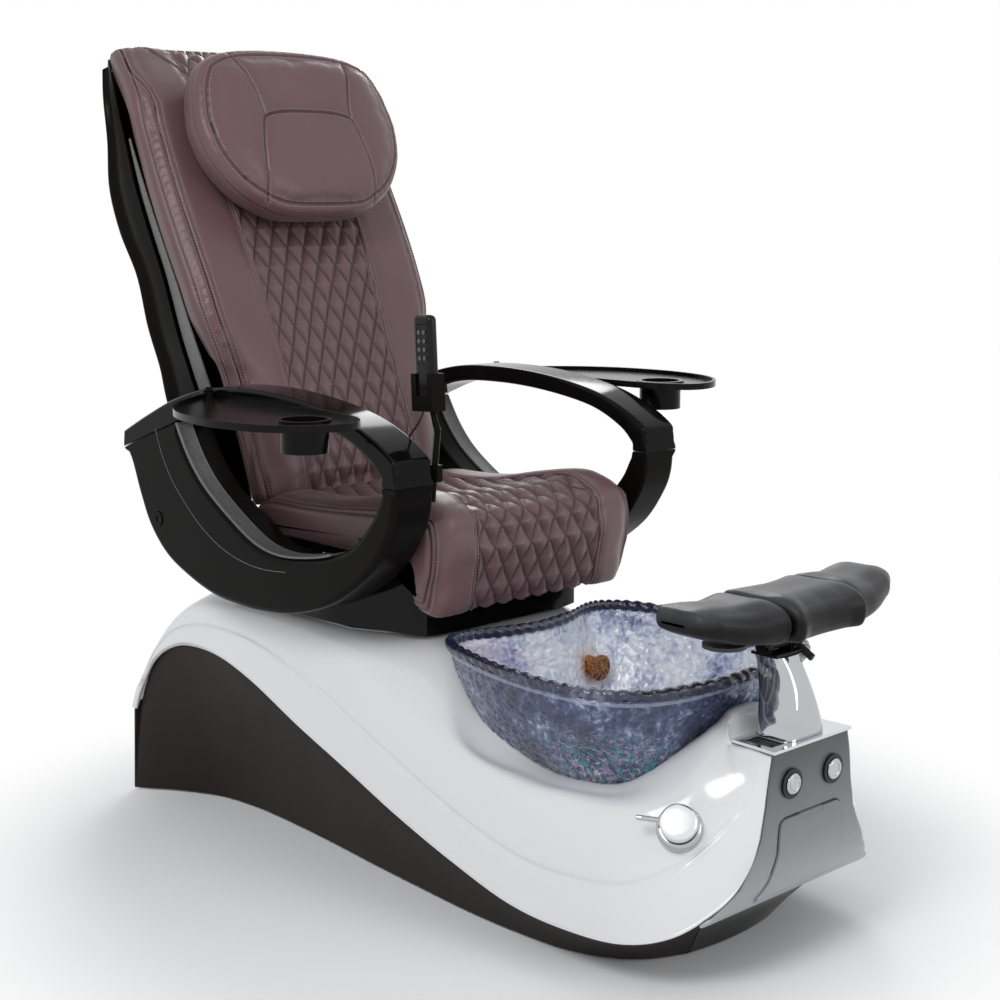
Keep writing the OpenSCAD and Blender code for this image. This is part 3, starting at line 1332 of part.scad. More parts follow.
module massage_rollers() {
    h = massage_rail / 2;
    color([0.10, 0.10, 0.10])
        along_back() translate([0, -h - 15, carriage_s]) {
            translate([-92, 0, 0]) rotate([0, 90, 0]) cylinder(h = 184, r = 4 - pin_gap, $fn = 32);
            for (s = [-1, 1])
                translate([s * 59, 0, 0]) rotate([0, 90, 0]) {
                    translate([0, 0, -16]) cylinder(h = 32, r = roller_r - 4, $fn = ROUND);
                    translate([0, 0, -12]) cylinder(h = 24, r = roller_r - 1.5, $fn = ROUND);
                    translate([0, 0, -8]) cylinder(h = 16, r = roller_r, $fn = ROUND);
                }
        }
}

recline_tube_y = 120;

module recline_actuator() {
    color([0.24, 0.24, 0.26])
        difference() {
            union() {
                translate([recline_x, recline_tube_y, recline_z]) rotate([-90, 0, 0])
                    cylinder(h = 180, r = drive_r, $fn = ROUND);
                span([recline_x - 9, recline_tube_y, recline_z], [recline_x + 9, recline_tube_y + 22,
                    pan_low - seat_gap]);
                span([recline_x - 9, recline_tube_y + 130, recline_z], [recline_x + 9,
                    recline_tube_y + 152, pan_low - seat_gap]);
            }
            translate([recline_x, recline_tube_y + 10, recline_z]) rotate([-90, 0, 0])
                cylinder(h = 180, r = drive_rod_r + run_gap, $fn = ROUND);
        }
}

module recline_rod() {
    y0 = recline_tube_y + 70;
    fork = pivot_y - 12;
    color([0.80, 0.80, 0.82]) {
        translate([recline_x, y0, recline_z]) rotate([-90, 0, 0])
            cylinder(h = fork - 14 - y0, r = drive_rod_r - pin_gap, $fn = ROUND);
        span([recline_x - 13, fork - 26, recline_z - 10], [recline_x + 13, fork - 14, recline_z + 10]);
        for (s = [-1, 1])
            span([recline_x + s * 9 - 3, fork - 15, recline_z - 10], [recline_x + s * 9 + 3,
                pivot_y + 14, recline_z + 10]);
        translate([recline_x - 12, pivot_y, recline_z]) rotate([0, 90, 0])
            cylinder(h = 24, r = 6, $fn = 32);
    }
}

// ---- handset ----------------------------------------------------------------------------------

hand_x = -arm_x0 + 6.8;
hand_y = -126;
hand_tilt = -3;
hand_low = arm_top - 10;

module gooseneck() {
    color([0.06, 0.06, 0.06]) {
        difference() {
            span([hand_x - 4, -150, arm_top - 126], [hand_x + 8, -64, arm_top - 98]);
            translate([hand_x - 5, -84, arm_top - 112]) rotate([0, 90, 0]) cylinder(h = 20, r = 3, $fn = 32);
        }
        rods([[hand_x, hand_y - 8, arm_top - 160], [hand_x, hand_y - 14, arm_top - 100],
            [hand_x, hand_y - 22, arm_top - 40], [hand_x, hand_y - 8, hand_low + 4]], neck_r);
        for (k = [0:13])
            translate([hand_x, hand_y - 14 - k * 0.5, arm_top - 96 + k * 4.4])
                cylinder(h = 2.4, r = neck_r + 1.4, $fn = 32);
        translate([hand_x, hand_y, hand_low]) rotate([hand_tilt, 0, 0])
            difference() {
                span([-handset_t / 2 - 4, -handset_w / 2 - 4, 0], [handset_t / 2 + 4, handset_w / 2 + 4, 62]);
                span([-handset_t / 2 - 0.6, -handset_w / 2 - 0.6, 13.5],
                    [handset_t / 2 + 0.6, handset_w / 2 + 0.6, 63]);
                span([-handset_t, -handset_w / 2 + 8, 26], [0, handset_w / 2 - 8, 70]);
            }
    }
}

// Turns the axes to the handset's foot: +Z runs up the handset and -X is its face.
module at_handset() {
    translate([hand_x, hand_y, hand_low]) rotate([hand_tilt, 0, 0]) translate([0, 0, 14]) children();
}

module handset() {
    r = handset_t / 2;
    color([0.05, 0.045, 0.045])
        at_handset()
            difference() {
                hull() {
                    for (y = [-1, 1]) {
                        translate([0, y * (handset_w / 2 - r), 0]) cylinder(h = 30, r = r - 1, $fn = 32);
                        translate([0, y * (handset_w / 2 - r), 10]) cylinder(h = 30, r = r, $fn = 32);
                        translate([0, y * (handset_w / 2 - r), handset_len - r * 1.6])
                            sphere(r = r, $fn = 32);
                    }
                }
                span([-r - 1, -handset_w / 2 + 9, handset_len * 0.42], [-r + 1.2, handset_w / 2 - 9,
                    handset_len - 22]);
            }
}

module handset_keys() {
    r = handset_t / 2;
    color([0.22, 0.22, 0.23])
        at_handset()
            for (row = [0:3], col = [-1, 1])
                translate([-r + 1.2 - seat_gap, col * 6, handset_len * 0.42 + 10 + row * 14])
                    rotate([0, -90, 0]) cylinder(h = 1.8, r = 4, $fn = 32);
}

CORD = [[-254, -112, 851], [-255, -108, 840], [-256, -94, 822], [-257, -76, 803], [-257, -62, 790],
    [-258, -56, 784], [-260.7, -54, 782]];
cord_r = 2;

module handset_cord() {
    n = 40;
    path = [for (k = [0:n]) spline(CORD, k / n)];
    color([0.04, 0.04, 0.04])
        loft([for (k = [0:n]) let(d = unit(path[min(k + 1, n)] - path[max(k - 1, 0)]),
            a = unit(cross(d, [1, 0, 0])), b = cross(d, a))
            [for (q = [0:7]) path[k] + cord_r * (a * cos(q * 45) + b * sin(q * 45))]]);
}

base_frame();
levelling_feet();
rear_panel();
skirt_left();
skirt_right();
kick_band();
shell();
deck_plate();
front_panel();
access_door();
collar_plate();
button_bezels();
jet_button();
light_button();
mixer_flange();
mixer_valve();
mixer_knob();
supply_pipes();
bowl();
drain_strainer();
drain_pipe();
jet_housing();
jet_impeller();
bowl_light();
control_box();
footrest_post();
footrest_bracket();
footrest_carrier();
footrest_knob();
pad_left();
pad_center();
pad_right();
slide_rails();
slide_carriage();
seat_actuator();
seat_plinth();
seat_pan();
seat_cushion();
arm_left();
arm_right();
cap_left();
cap_right();
arm_liners();
arm_bolts();
tray_pivots();
tray_left();
tray_right();
recline_actuator();
recline_rod();
back_frame();
back_shell();
back_trims();
back_cushion();
head_pillow();
massage_carriage();
massage_rollers();
gooseneck();
handset();
handset_keys();
handset_cord();
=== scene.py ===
# Pedicure spa chair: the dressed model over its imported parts. Metres, with tables written in millimetres.
import json
import math
import bmesh
import bpy
import numpy as np
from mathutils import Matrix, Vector
from mathutils.kdtree import KDTree


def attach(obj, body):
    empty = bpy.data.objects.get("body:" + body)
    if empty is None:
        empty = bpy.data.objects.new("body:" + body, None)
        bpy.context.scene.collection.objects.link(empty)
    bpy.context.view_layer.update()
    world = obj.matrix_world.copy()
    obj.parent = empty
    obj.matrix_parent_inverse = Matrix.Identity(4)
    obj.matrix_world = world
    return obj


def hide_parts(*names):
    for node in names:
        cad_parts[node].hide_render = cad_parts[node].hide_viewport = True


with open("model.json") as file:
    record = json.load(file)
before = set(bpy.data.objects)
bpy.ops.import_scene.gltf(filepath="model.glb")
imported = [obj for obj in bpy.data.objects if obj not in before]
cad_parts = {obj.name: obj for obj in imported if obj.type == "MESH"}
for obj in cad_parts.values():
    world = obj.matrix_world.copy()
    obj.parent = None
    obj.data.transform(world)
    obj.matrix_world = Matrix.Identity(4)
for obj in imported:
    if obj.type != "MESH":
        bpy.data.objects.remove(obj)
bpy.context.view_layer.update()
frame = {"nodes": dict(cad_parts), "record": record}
parts = frame["nodes"]
body_with = {n: b for b, held in frame["record"]["behaviour"]["bodies"].items() for n in held}

# ---- Studio ----
# A pale floor that runs on into a white room, three soft lamps, and the camera in front of the chair's
# right front corner at a standing person's waist.
view_side, view_up, view_far = math.radians(-43.3), math.radians(10.0), 3.152
aim = Vector((0, -0.027, 0.660))
eye = bpy.data.objects.new("camera", bpy.data.cameras.new("camera"))
bpy.context.scene.collection.objects.link(eye)
eye.data.lens, eye.data.sensor_width, eye.data.clip_start, eye.data.clip_end = 62.9, 36, 0.05, 60
away = Vector((math.sin(view_side) * math.cos(view_up), -math.cos(view_side) * math.cos(view_up),
    math.sin(view_up)))
eye.location = aim + away * view_far
eye.rotation_euler = (-away).to_track_quat("-Z", "Y").to_euler()
bpy.context.scene.camera = eye
bpy.context.scene.view_settings.view_transform = "Standard"

LAMPS = {"lamp_key": ((-2.6, -1.0, 3.0), 1.4, 46), "lamp_front": ((0.9, -3.6, 1.8), 1.8, 24),
    "lamp_rear": ((2.4, 2.4, 2.6), 1.5, 34)}
LIT_POINT = Vector((0, 0, 0.6))
for name, (place, size, watts) in LAMPS.items():
    light = bpy.data.lights.new(name, "AREA")
    light.shape, light.size, light.energy = "DISK", size, watts
    lamp = bpy.data.objects.new(name, light)
    lamp.location = place
    lamp.rotation_euler = (Vector(place) - LIT_POINT).to_track_quat("Z", "Y").to_euler()
    bpy.context.scene.collection.objects.link(lamp)

def plug(tree, made, **values):
    """Sets or links a node's sockets by name; a name that no socket has is one of its settings."""
    for key, value in values.items():
        key = key.replace("_", " ")
        if key not in made.inputs:
            setattr(made, key.replace(" ", "_"), value)
        elif hasattr(value, "node"):
            tree.links.new(value, made.inputs[key])
        else:
            made.inputs[key].default_value = value
    return made

def node(tree, kind, **values):
    return plug(tree, tree.nodes.new(kind), **values)

def joined(tree, kind, *values, **settings):
    """A node whose sockets take the values in their order; gives back its first output."""
    made = node(tree, kind, **settings)
    for socket, value in zip(made.inputs, values):
        if hasattr(value, "node"):
            tree.links.new(value, socket)
        else:
            socket.default_value = value
    return made.outputs[0]

def sum_of(tree, operation, *values, **settings):
    return joined(tree, "ShaderNodeMath", *values, operation=operation, **settings)

room = bpy.data.worlds.new("room")
bpy.context.scene.world = room
room.use_nodes = True
tree = room.node_tree
tree.nodes.clear()
ray = node(tree, "ShaderNodeLightPath").outputs
seen = sum_of(tree, "ADD", ray["Is Camera Ray"], ray["Is Glossy Ray"])
seen = sum_of(tree, "ADD", seen, ray["Is Transmission Ray"], use_clamp=True)
plain = node(tree, "ShaderNodeBackground", Color=(0.93, 0.96, 1.0, 1), Strength=0.50).outputs[0]
white = node(tree, "ShaderNodeBackground", Color=(1, 1, 1, 1), Strength=1.0).outputs[0]
node(tree, "ShaderNodeOutputWorld", Surface=joined(tree, "ShaderNodeMixShader", seen, plain, white))

FLOOR_HALF, FLOOR_Z = 9, -0.0005
floor_mesh = bpy.data.meshes.new("studio_floor")
floor_mesh.from_pydata([(x * FLOOR_HALF, y * FLOOR_HALF, FLOOR_Z) for x, y in ((-1, -1), (1, -1), (1, 1),
    (-1, 1))], [], [(0, 1, 2, 3)])
floor = bpy.data.objects.new("studio_floor", floor_mesh)
bpy.context.scene.collection.objects.link(floor)

def blank_paint(name):
    """A new material, its tree, its surface node and the object's own coordinates."""
    made = bpy.data.materials.new(name)
    made.use_nodes = True
    tree = made.node_tree
    return made, tree, tree.nodes["Principled BSDF"], node(tree, "ShaderNodeTexCoord").outputs["Object"]

def ranged(tree, value, **limits):
    return node(tree, "ShaderNodeMapRange", Value=value, **limits).outputs["Result"]

# the floor glows white far from the chair and keeps the chair's shadow near it
floor_paint, tree, face, where = blank_paint("pale_floor")
plug(tree, face, Base_Color=(0.95, 0.95, 0.95, 1), Roughness=0.75)
reach = node(tree, "ShaderNodeVectorMath", operation="LENGTH")
tree.links.new(where, reach.inputs[0])
fade = ranged(tree, reach.outputs["Value"], From_Min=0.64, From_Max=1.15, interpolation_type="SMOOTHSTEP")
glow = node(tree, "ShaderNodeEmission", Strength=1.0).outputs[0]
plug(tree, tree.nodes["Material Output"],
    Surface=joined(tree, "ShaderNodeMixShader", fade, face.outputs[0], glow))
floor_mesh.materials.append(floor_paint)

# ---- Handset cord ----
# A thin black lead. It leaves the underside of the handset's holster and goes into the inner face of
# the arm under its cap; the rest of it is inside the arm.
def strand(points, share):
    """Points at the given shares of a smooth curve through a list of points, rows or values."""
    p = np.asarray(points, float)
    last = len(p) - 1
    s = np.clip(np.asarray(share, float), 0, 1) * last
    i = np.minimum(np.floor(s).astype(int), last - 1)
    u = (s - i).reshape(s.shape + (1,) * (p.ndim - 1))
    return eased(p[np.maximum(i - 1, 0)], p[i], p[i + 1], p[np.minimum(i + 2, last)], u)

def eased(a, b, c, d, u):
    """The point at u from b to c on the smooth curve through a, b, c and d."""
    return 0.5 * (2 * b + (c - a) * u + (2 * a - 5 * b + 4 * c - d) * u * u
        + (3 * b - a - 3 * c + d) * u ** 3)

def unit(v):
    return v / np.maximum(np.linalg.norm(v, axis=-1, keepdims=True), 1e-12)

def tube(name, centres, radius, around=12):
    """A closed round tube along centre points; radius is one number or one for each point."""
    centres = np.asarray(centres, float)
    radius = np.broadcast_to(radius, len(centres))
    along = unit(np.gradient(centres, axis=0))
    side = unit(np.cross(along[0], [0.3, 0.1, 1.0]))
    turn = np.linspace(0, 2 * np.pi, around, endpoint=False)[:, None]
    rings = []
    for centre, r, way in zip(centres, radius, along):
        side = unit(side - way * (side @ way))
        rings.append(centre + r * (side * np.cos(turn) + np.cross(way, side) * np.sin(turn)))
    return loft(name, rings)

def loft(name, rings, sharp=38):
    """A closed solid through rings of the same number of points."""
    rings = np.asarray(rings, float)
    n, m = rings.shape[:2]
    ids = np.arange(n * m).reshape(n, m)
    turn = np.roll(ids, -1, 1)
    quads = np.stack([ids[:-1], ids[1:], turn[1:], turn[:-1]], -1).reshape(-1, 4).tolist()
    verts = np.concatenate([rings.reshape(-1, 3), rings[0].mean(0)[None], rings[-1].mean(0)[None]])
    caps = [(n * m, turn[0, k], ids[0, k]) for k in range(m)]
    caps += [(n * m + 1, ids[-1, k], turn[-1, k]) for k in range(m)]
    mesh = bpy.data.meshes.new(name)
    mesh.from_pydata(verts.tolist(), [], quads + caps)
    return finish_mesh(name, mesh, sharp)

def linked(name, mesh):
    ob = bpy.data.objects.new(name, mesh)
    bpy.context.scene.collection.objects.link(ob)
    return ob

def finish_mesh(name, mesh, sharp=38):
    """Turns a mesh's faces outwards, smooths it up to an angle and links it as a piece."""
    bm = bmesh.new()
    bm.from_mesh(mesh)
    bmesh.ops.recalc_face_normals(bm, faces=bm.faces)
    bm.to_mesh(mesh)
    bm.free()
    mesh.shade_smooth()
    mesh.set_sharp_from_angle(angle=math.radians(sharp))
    return linked(name, mesh)

def fit(ob, skin, name, stands_for=True):
    """Puts a piece in its finish on the body of a CAD part, which it stands for or only adds to."""
    if skin:
        ob.data.materials.append(skin)
    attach(ob, body_with[name])
    if stands_for:
        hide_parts(name)
    return ob

def blend_of(tree, share, a, b):
    made = node(tree, "ShaderNodeMix", data_type="RGBA")
    for socket, value in ((0, share), (6, a), (7, b)):
        if hasattr(value, "node"):
            tree.links.new(value, made.inputs[socket])
        else:
            made.inputs[socket].default_value = value
    return made.outputs[2]

def noise(tree, where, scale, **more):
    return node(tree, "ShaderNodeTexNoise", Vector=where, Scale=scale, **more).outputs["Fac"]

def cells(tree, where, scale, out="Distance", **more):
    return node(tree, "ShaderNodeTexVoronoi", Vector=where, Scale=scale, **more).outputs[out]

def bumped(tree, face, height, strength, distance):
    bump = node(tree, "ShaderNodeBump", Height=height, Strength=strength, Distance=distance)
    tree.links.new(bump.outputs["Normal"], face.inputs["Normal"])

def finish(name, colour, rough, coat=0.0, tone=0.06, tone_scale=9.0, grain=0.0, grain_scale=700.0,
        grain_kind="noise", rough_vary=0.05, specular=0.5):
    """A painted or moulded finish: soft tone changes, uneven gloss and a fine surface grain."""
    made, tree, face, where = blank_paint(name)
    low = [c * (1 - tone) for c in colour] + [1]
    high = [min(c * (1 + tone), 1) for c in colour] + [1]
    gloss = ranged(tree, noise(tree, where, tone_scale * 6, Detail=3.0), To_Min=max(rough - rough_vary, 0.02),
        To_Max=rough + rough_vary)
    plug(tree, face, Base_Color=blend_of(tree, noise(tree, where, tone_scale, Detail=4.0), low, high),
        Roughness=gloss, Coat_Weight=coat, Coat_Roughness=0.05, Specular_IOR_Level=specular)
    if grain:
        height = noise(tree, where, grain_scale, Detail=2.0) if grain_kind == "noise" else cells(tree, where,
            grain_scale)
        bumped(tree, face, height, grain, 0.0006)
    return made

lead_rubber = finish("lead_rubber", (0.012, 0.012, 0.012), 0.5, grain=0.15, grain_scale=1500)
LEAD = np.array([[-254, -112, 851], [-255, -108, 840], [-256, -94, 822], [-257, -76, 803], [-257, -62, 790],
    [-258, -56, 784], [-260.7, -54, 782]]) / 1000
lead_path = strand(LEAD, np.linspace(0, 1, 41))
lead = fit(tube("handset_lead", lead_path, 0.002, 12), lead_rubber, "handset_cord")


# ---- Shell ----
# The white base moulding: gelcoated glass fibre, 6 mm thick, laid up in one piece with a groove run
# along each flank and a bead at its lip. It is screwed down on the hidden frame.
SHELL_ROWS = np.array([
    [[312, 725.7, 172], [310, 723, 186], [300, 721, 192], [150, 720, 196], [0, 720, 196]],
    [[310, 704, 222], [306, 700, 238], [292, 697, 246], [150, 695, 250], [0, 694, 251]],
    [[308, 662, 282], [303, 658, 302], [288, 655, 314], [150, 652, 320], [0, 650, 322]],
    [[305, 608, 320], [294, 606, 352], [278, 602, 382], [150, 600, 396], [0, 600, 400]],
    [[300, 545, 338], [287, 545, 374], [268, 545, 418], [182, 546, 436], [0, 546, 436]],
    [[293, 460, 332], [284, 456, 384], [262, 452, 430], [182, 450, 436], [0, 450, 436]],
    [[290, 350, 302], [276, 345, 374], [254, 345, 432], [182, 345, 436], [0, 345, 436]],
    [[288, 210, 246], [271, 205, 334], [250, 205, 424], [182, 205, 436], [0, 205, 436]],
    [[288, 71, 198], [270, 70, 279], [250, 70, 398], [182, 70, 436], [0, 70, 436]],
    [[288, -70, 148], [270, -70, 226], [250, -70, 334], [170, -70, 420], [0, -70, 436]],
    [[288, -215, 105], [270, -209, 179], [251, -200, 280], [214, -195, 300], [120, -190, 360]],
    [[288, -350, 74], [270, -344, 148], [252, -335, 256], [214, -335, 272], [150, -335, 280]],
    [[286, -470, 68], [269, -455, 145], [249, -435, 257], [211, -425, 272], [140, -420, 280]],
    [[275, -586, 76], [260, -575, 163], [235, -554, 268], [190, -512, 283], [130, -470, 290]],
    [[238, -660, 99], [221, -648, 203], [192, -622, 290], [148, -570, 326], [95, -520, 330]],
    [[182, -703, 141], [174, -680, 246], [152, -645, 318], [105, -600, 366], [60, -550, 352]],
    [[148, -720, 180], [147, -696, 276], [134, -654, 332], [90, -608, 377], [48, -555, 362]],
    [[121, -725.7, 235], [125, -706, 304], [117, -664, 346], [76, -616, 386], [36, -560, 370]],
    [[99, -725.7, 348], [102, -705, 356], [101, -652, 360], [62, -616, 394], [24, -565, 382]],
    [[91, -725.7, 368], [91, -690, 370.3], [90, -641, 370.3], [50, -611, 399], [14, -565, 390]],
    [[46, -725.7, 369], [46, -690, 370.3], [46, -641, 370.3], [26, -609, 402], [7, -565, 392]],
    [[0, -725.7, 369], [0, -690, 370.3], [0, -641, 370.3], [0, -609, 403], [0, -566, 393]]]) / 1000
SHELL_WALL, DECK = 0.006, 0.436

def facing(grid):
    """Unit normals of a grid of points, on the side that its rows turn to."""
    return unit(np.cross(np.gradient(grid, axis=0), np.gradient(grid, axis=1)))

def sheet(name, grid, wall, keep=None, rim=0.0):
    """A closed sheet between a grid and the same grid set in by its wall; keep marks the faces to make."""
    n, m = grid.shape[:2]
    inner = grid + wall * facing(grid)
    ids = np.arange(n * m).reshape(n, m)
    quads = np.stack([ids[:-1, :-1], ids[1:, :-1], ids[1:, 1:], ids[:-1, 1:]], -1)
    if keep is not None:
        quads = quads[keep]
    quads = quads.reshape(-1, 4)
    mesh = bpy.data.meshes.new(name)
    verts = np.concatenate([grid.reshape(-1, 3), inner.reshape(-1, 3)])
    edges = np.concatenate([quads[:, [k, (k + 1) % 4]] for k in range(4)])
    keys = np.sort(edges, 1)
    _, first, count = np.unique(keys, axis=0, return_index=True, return_counts=True)
    loose = edges[first[count == 1]]
    walls = np.stack([loose[:, 1], loose[:, 0], loose[:, 0] + n * m, loose[:, 1] + n * m], 1)
    faces = np.concatenate([quads, quads[:, ::-1] + n * m, walls])
    mesh.from_pydata(verts.tolist(), [], faces.tolist())
    bm = bmesh.new()
    bm.from_mesh(mesh)
    bmesh.ops.delete(bm, geom=[v for v in bm.verts if not v.link_faces], context="VERTS")
    bm.to_mesh(mesh)
    bm.free()
    ob = finish_mesh(name, mesh)
    if rim:
        soften(ob, rim)
    return ob

def settle(ob):
    """Keeps what an object's modifiers make as its mesh."""
    made = bpy.data.meshes.new_from_object(ob.evaluated_get(bpy.context.evaluated_depsgraph_get()))
    ob.modifiers.clear()
    ob.data = made

def soften(ob, width, segments=2, angle=38):
    """Rounds a piece's edges over an angle."""
    bevel = ob.modifiers.new("edge", "BEVEL")
    bevel.width, bevel.segments, bevel.limit_method = width, segments, "ANGLE"
    bevel.angle_limit, bevel.miter_outer = math.radians(angle), "MITER_ARC"
    settle(ob)
    ob.data.shade_smooth()
    ob.data.set_sharp_from_angle(angle=math.radians(angle))
    weigh_normals(ob)

def weigh_normals(ob):
    """Keeps broad flat faces flat-shaded beside their rounded edges."""
    weigh = ob.modifiers.new("flats", "WEIGHTED_NORMAL")
    weigh.keep_sharp, weigh.weight = True, 90
    settle(ob)

def step(x, low, high):
    """A smooth rise from 0 at low to 1 at high."""
    s = np.clip((x - low) / (high - low), 0, 1)
    return s * s * (3 - 2 * s)

def shell_rows(row):
    """The shell's cross rows at fractional places in their table, each with its five points."""
    return strand(SHELL_ROWS, np.asarray(row) / (len(SHELL_ROWS) - 1))

row = np.linspace(0, 21, 211)
half = np.concatenate([np.linspace(0, 0.10, 7), np.linspace(0.14, 0.84, 9), np.linspace(0.87, 1.13, 14),
    np.linspace(1.18, 4, 34)])
columns = shell_rows(row)
grid = strand(np.swapaxes(columns, 0, 1), half / 4)
grid = np.swapaxes(grid, 0, 1)
grid[..., 2] = np.minimum(grid[..., 2], DECK)
groove = 0.0040 * np.exp(-((half - 1.0) / 0.055) ** 2)[None] * (step(row, 0.4, 2.4)
    * (1 - step(row, 14.5, 18)))[:, None]
bead = 0.0016 * np.exp(-((half - 0.05) / 0.035) ** 4)[None] * (1 - step(row, 16, 18))[:, None]
grid = grid + (groove - bead)[..., None] * facing(grid)
grid[..., 2] = np.minimum(grid[..., 2], DECK)
grid[:, -1, 0] = np.where(row < 9.6, 0, grid[:, -1, 0])
grid[-1, :, 0] = 0

BOWL_SIDE = np.array([[0, -247], [95, -245], [185, -226], [246, -172], [270, -92], [270, 10], [254, 110],
    [228, 200], [192, 246], [146, 250], [84, 228], [0, 215]]) / 1000
BOWL_LOOP = np.concatenate([BOWL_SIDE, BOWL_SIDE[-2:0:-1] * [-1, 1], BOWL_SIDE[:1]])
BOWL_PROFILE = np.array([[0, 1], [12, 1.012], [26, 0.985], [58, 0.955], [94, 0.905], [128, 0.845],
    [158, 0.78], [183, 0.70], [206, 0.585], [222, 0.44], [230, 0.26]]) / [1000, 1]
BOWL_MID, RIM_TOP = np.array([0, -0.350]), 0.458
loop = strand(BOWL_LOOP, np.linspace(0, 1, 721)[:-1])
loop_turn = np.arctan2(loop[:, 1], loop[:, 0])
order = np.argsort(loop_turn)
loop_turn, loop_reach = loop_turn[order], np.linalg.norm(loop[order], axis=1)

def bowl_share(points):
    """How far points lie from the bowl's axis, as a share of the bowl's outside at their height."""
    flat = points[..., :2] - BOWL_MID
    reach = np.interp(np.arctan2(flat[..., 1], flat[..., 0]), loop_turn, loop_reach, period=2 * np.pi)
    size = np.interp(RIM_TOP - points[..., 2], BOWL_PROFILE[:, 0], BOWL_PROFILE[:, 1])
    return np.linalg.norm(flat, axis=-1) / (reach * size)

share = bowl_share(grid)
inside = share < 0.985
keep = ~(inside[:-1, :-1] & inside[1:, :-1] & inside[1:, 1:] & inside[:-1, 1:])
flat = grid[..., :2] - BOWL_MID
pushed = BOWL_MID + flat * (0.985 / np.maximum(share, 0.3))[..., None]
grid[..., :2] = np.where((inside & (share > 0.8))[..., None], pushed, grid[..., :2])
whole = np.concatenate([grid, (grid * [-1, 1, 1])[:, -2::-1]], 1)
keep = np.concatenate([keep, keep[:, ::-1]], 1)
gelcoat = finish("white_gelcoat", (0.79, 0.788, 0.795), 0.16, coat=0.25, tone=0.03, tone_scale=2.2,
    grain=0.02, grain_scale=160, rough_vary=0.03, specular=0.35)
fit(sheet("base_shell", whole, SHELL_WALL, keep, rim=0.0015), gelcoat, "shell")

# ---- Skirts ----
# The two flanks between the shell's lip and the floor: ABS sheet, 4 mm, espresso coloured with a dull
# leather-like grain. Each is clipped up behind the shell's lip.
FOOT = np.array([[319, 725.7], [302, 700], [271, 660], [241, 608], [217, 548], [206, 455], [207, 350],
    [215, 210], [227, 71], [237, -70], [245, -215], [243, -330], [233, -425], [205, -497], [160, -545],
    [100, -574]]) / 1000
FOOT = np.concatenate([FOOT, np.full((16, 1), 0.003)], 1)
SKIRT_WALL, FLARE = 0.004, np.array([0.58, 0.58, 0.5])
row = np.linspace(0, 15, 151)
lips = shell_rows(row)
up = unit(strand(np.swapaxes(lips, 0, 1), np.array([0.04]))[0] - lips[:, 0])
along = shell_rows(np.minimum(row + 0.2, 21))[:, 0] - shell_rows(np.maximum(row - 0.2, 0))[:, 0]
tuck = (0.0064 + 0.002 * np.maximum(2 - row, 0))[:, None]
tops = lips[:, 0] + tuck * unit(np.cross(along, up)) + 0.005 * up
feet = strand(FOOT, row / 15)
mids = feet * FLARE + tops * (1 - FLARE)
flare = np.swapaxes(strand(np.stack([feet, mids, tops]), np.linspace(0, 1, 17)), 0, 1)
flare[..., 1] = np.minimum(flare[..., 1], 0.7257)
espresso = finish("espresso_abs", (0.0225, 0.0165, 0.0160), 0.50, tone=0.12, tone_scale=2.5, grain=0.22,
    grain_scale=900, rough_vary=0.06, specular=0.14)
for side, name, hidden in ((1, "skirt_far_side", "skirt_left"), (-1, "skirt_near_side", "skirt_right")):
    skirt = sheet(name, flare * [side, 1, 1], SKIRT_WALL * side, rim=0.0008)
    fit(skirt, espresso, hidden)
for s in parts["rear_panel"].material_slots:
    s.material = espresso

# ---- Kick band ----
# A high-gloss black acrylic band that closes the base between the two skirts, under the front panel.
black_gloss = finish("black_gloss_acrylic", (0.0045, 0.0040, 0.0038), 0.09, tone=0.10,
    grain=0.012, grain_scale=220, rough_vary=0.03, specular=0.15)
end = strand(np.stack([FOOT[-1], FOOT[-1] * FLARE + tops[-1] * (1 - FLARE), tops[-1]]),
    np.linspace(0, 1, 25))
u = np.linspace(-1, 1, 81)[:, None]
bow, v = 1 - u * u, np.linspace(0, 1, 25)[None]
band = np.stack([-u * (end[None, :, 0] - 0.0011), end[None, :, 1] - bow * (0.009 - 0.025 * v),
    end[None, :, 2] - 0.025 * bow * v], -1)
fit(sheet("kick_band_gloss", band, SKIRT_WALL, rim=0.0008), black_gloss, "kick_band")

# ---- Front panel and access door ----
# A satin graphite ABS panel bonded to the column, its colour painted paler towards the floor as a painted
# reflection of the pale floor. Its door sits in a dark 2 mm groove and tips out on its lower edge.
panel_plastic = finish("graphite_satin_abs", (0.060, 0.060, 0.064), 0.30, tone=0.05, grain=0.10,
    grain_scale=1100, specular=0.35)
tree = panel_plastic.node_tree
where = node(tree, "ShaderNodeTexCoord").outputs["Object"]
height = node(tree, "ShaderNodeSeparateXYZ", Vector=where).outputs["Z"]

def ramp_of(tree, source, stops):
    """Colours at stops of a value from 0 to 1."""
    made = tree.nodes.new("ShaderNodeValToRGB")
    tree.links.new(source, made.inputs["Fac"])
    bar = made.color_ramp
    bar.elements[0].position, bar.elements[0].color = stops[0][0], (*stops[0][1], 1)
    bar.elements[1].position, bar.elements[1].color = stops[-1][0], (*stops[-1][1], 1)
    for at, colour in stops[1:-1]:
        bar.elements.new(at).color = (*colour, 1)
    return made.outputs["Color"]

# painted reflection: the colour runs from pale at the bottom to dark at the top
plug(tree, tree.nodes["Principled BSDF"], Base_Color=ramp_of(tree, ranged(tree, height, From_Min=0.11,
    From_Max=0.36), [(0, (0.40, 0.41, 0.43)), (0.45, (0.225, 0.232, 0.240)), (1.0, (0.082, 0.084, 0.084))]))

